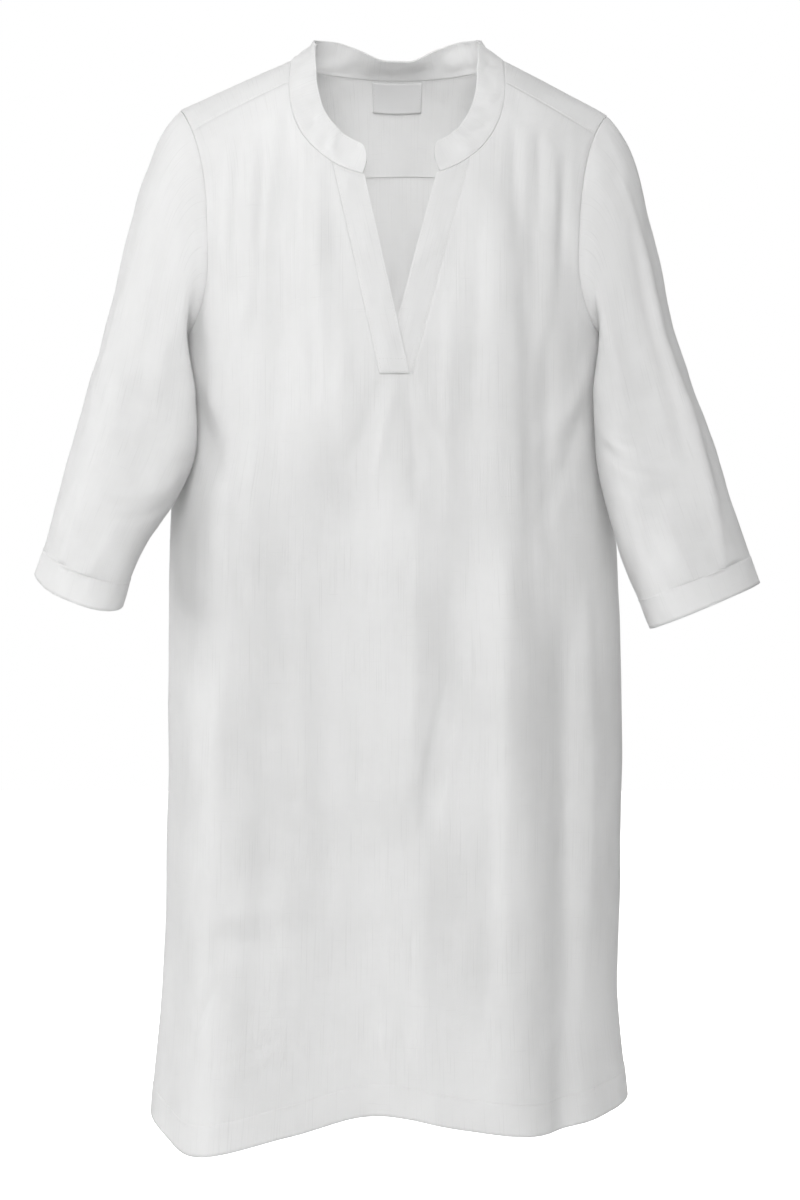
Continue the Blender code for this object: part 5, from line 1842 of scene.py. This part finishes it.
LEFT_SLEEVE_CREASES = (
    Crease((-0.150, -0.300), (-0.075, -0.345), 0.0070, 0.0026, bow=0.006),
    Crease((-0.160, -0.325), (-0.090, -0.372), 0.0065, -0.0024, bow=0.005),
    Crease((-0.165, -0.268), (-0.100, -0.282), 0.0060, -0.0020, bow=0.004),
    Crease((-0.120, -0.060), (-0.100, -0.230), 0.0090, 0.0018, bow=-0.006),
    Crease((-0.085, -0.050), (-0.075, -0.260), 0.0080, -0.0016, bow=0.006),
    Crease((-0.050, -0.070), (-0.045, -0.300), 0.0090, 0.0016, bow=-0.005),
    Crease((-0.110, -0.360), (-0.085, -0.470), 0.0080, 0.0018, bow=0.004),
    Crease((-0.060, -0.340), (-0.050, -0.460), 0.0070, -0.0014, bow=-0.003),
    Crease((0.020, -0.090), (0.030, -0.280), 0.0100, 0.0015, bow=0.006),
    Crease((0.070, -0.060), (0.080, -0.300), 0.0090, -0.0016, bow=-0.006),
    Crease((0.110, -0.100), (0.105, -0.330), 0.0090, 0.0017, bow=0.005),
    Crease((0.150, -0.290), (0.080, -0.330), 0.0070, -0.0020, bow=-0.005),
    Crease((0.155, -0.325), (0.090, -0.360), 0.0070, 0.0022, bow=-0.005),
)
RIGHT_SLEEVE_CREASES = (
    Crease((-0.052, -0.040), (-0.050, -0.260), 0.0060, 0.0026, bow=0.004),
    Crease((-0.050, -0.230), (-0.066, -0.455), 0.0060, 0.0026, bow=-0.004),
    Crease((-0.066, -0.080), (-0.070, -0.320), 0.0065, -0.0020, bow=-0.003),
    Crease((-0.140, -0.245), (-0.100, -0.290), 0.0060, 0.0030, bow=0.004),
    Crease((-0.142, -0.268), (-0.092, -0.310), 0.0055, -0.0030, bow=0.004),
    Crease((-0.138, -0.290), (-0.086, -0.335), 0.0055, 0.0026, bow=0.003),
    Crease((-0.132, -0.318), (-0.090, -0.352), 0.0050, -0.0022, bow=0.003),
    Crease((-0.124, -0.230), (-0.084, -0.262), 0.0050, -0.0018, bow=0.003),
    Crease((-0.120, -0.050), (-0.104, -0.200), 0.0080, 0.0018, bow=-0.005),
    Crease((-0.096, -0.350), (-0.092, -0.465), 0.0080, 0.0016, bow=0.003),
    Crease((-0.120, -0.370), (-0.116, -0.460), 0.0070, -0.0014),
    Crease((0.010, -0.080), (0.016, -0.300), 0.0100, 0.0015, bow=0.006),
    Crease((0.060, -0.060), (0.066, -0.290), 0.0090, -0.0016, bow=-0.006),
    Crease((0.100, -0.100), (0.108, -0.330), 0.0090, 0.0018, bow=0.006),
    Crease((0.150, -0.280), (0.090, -0.322), 0.0070, 0.0022, bow=-0.005),
    Crease((0.150, -0.310), (0.086, -0.352), 0.0070, -0.0020, bow=-0.005),
)


def dress_piece(shell: Shell, finish: bpy.types.Material, node: str) -> None:
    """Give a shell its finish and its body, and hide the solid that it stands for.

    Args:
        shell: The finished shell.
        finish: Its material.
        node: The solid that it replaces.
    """
    shell.piece.data.materials.append(finish)
    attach(shell.piece, BODY)
    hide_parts(node)
    LOG.info("%s: %d faces", shell.piece.name, len(shell.piece.data.polygons))


def dress_stitches(stitches: bpy.types.Object, finish: bpy.types.Material) -> bpy.types.Object:
    """Give a line of stitches its thread and its body, and hand it back."""
    stitches.data.materials.append(finish)
    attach(stitches, BODY)
    LOG.info("%s: %d faces", stitches.name, len(stitches.data.polygons))
    return stitches


def main() -> None:
    """Build the dress piece by piece, then the studio."""
    logging.basicConfig(level=logging.INFO, format="%(name)s: %(message)s")
    weave = linen_weave_group()
    linen, satin, thread = LINEN.material(weave), SATIN.material(weave), ThreadFinish().material()
    sewing = Sewing()
    beside = YOKE_STITCH_INSET

    front_panel = FrontPanel()
    front = front_panel.build()
    dress_piece(front, linen, "front_panel")
    front_stitches = dress_stitches(
        sewing.sew("front_hem_stitches", front, [front_panel.hem_path(STITCH_ROW)]), thread)

    back_panel = BackPanel()
    back = back_panel.build()
    dress_piece(back, linen, "back_panel")
    back_stitches = dress_stitches(
        sewing.sew("back_hem_stitches", back, [back_panel.hem_path(STITCH_ROW)]), thread)

    yoke_form = Yoke()
    yoke = yoke_form.build()
    dress_piece(yoke, linen, "yoke")
    yoke_stitches = [
        dress_stitches(sewing.sew("yoke_front_stitches", yoke, yoke_form.front_seams()[:1], inset=beside),
                       thread),
        dress_stitches(sewing.sew("yoke_front_stitches_2", yoke, yoke_form.front_seams()[1:], inset=-beside),
                       thread),
        dress_stitches(sewing.sew("yoke_back_stitches", yoke, [yoke_form.back_seam()], inset=-beside),
                       thread)]

    for side, creases in ((Side.LEFT, LEFT_SLEEVE_CREASES), (Side.RIGHT, RIGHT_SLEEVE_CREASES)):
        sleeve = Sleeve(side, creases)
        name = side.name.lower()
        shell = sleeve.build()
        dress_piece(shell, linen, f"sleeve_{name}")
        stitches = dress_stitches(
            sewing.sew(f"cuff_{name}_stitches", shell, [sleeve.cuff_path(STITCH_ROW)]), thread)

    collar_form = BandCollar()
    collar = collar_form.build()
    dress_piece(collar, linen, "neckband")
    inset = collar_form.stitch_inset
    paths = [collar_form.edge_path(row) for row in (inset, collar_form.rows - inset)]
    collar_stitches = dress_stitches(sewing.sew("neckband_stitches", collar, paths), thread)

    for side in Side:
        band_form = SlitBand(side)
        name = side.name.lower()
        band = band_form.build()
        dress_piece(band, linen, f"placket_{name}")
        paths = band_form.stitch_paths() + (band_form.foot_paths() if side is Side.LEFT else [])
        stitches = dress_stitches(sewing.sew(f"placket_{name}_stitches", band, paths), thread)

    label_form = NeckLabel()
    label = label_form.build()
    dress_piece(label, satin, "neck_label")
    label_stitches = dress_stitches(sewing.sew("neck_label_stitches", label, label_form.stitch_paths()),
                                    thread)

    Studio().build()


if __name__ == "__main__":
    main()
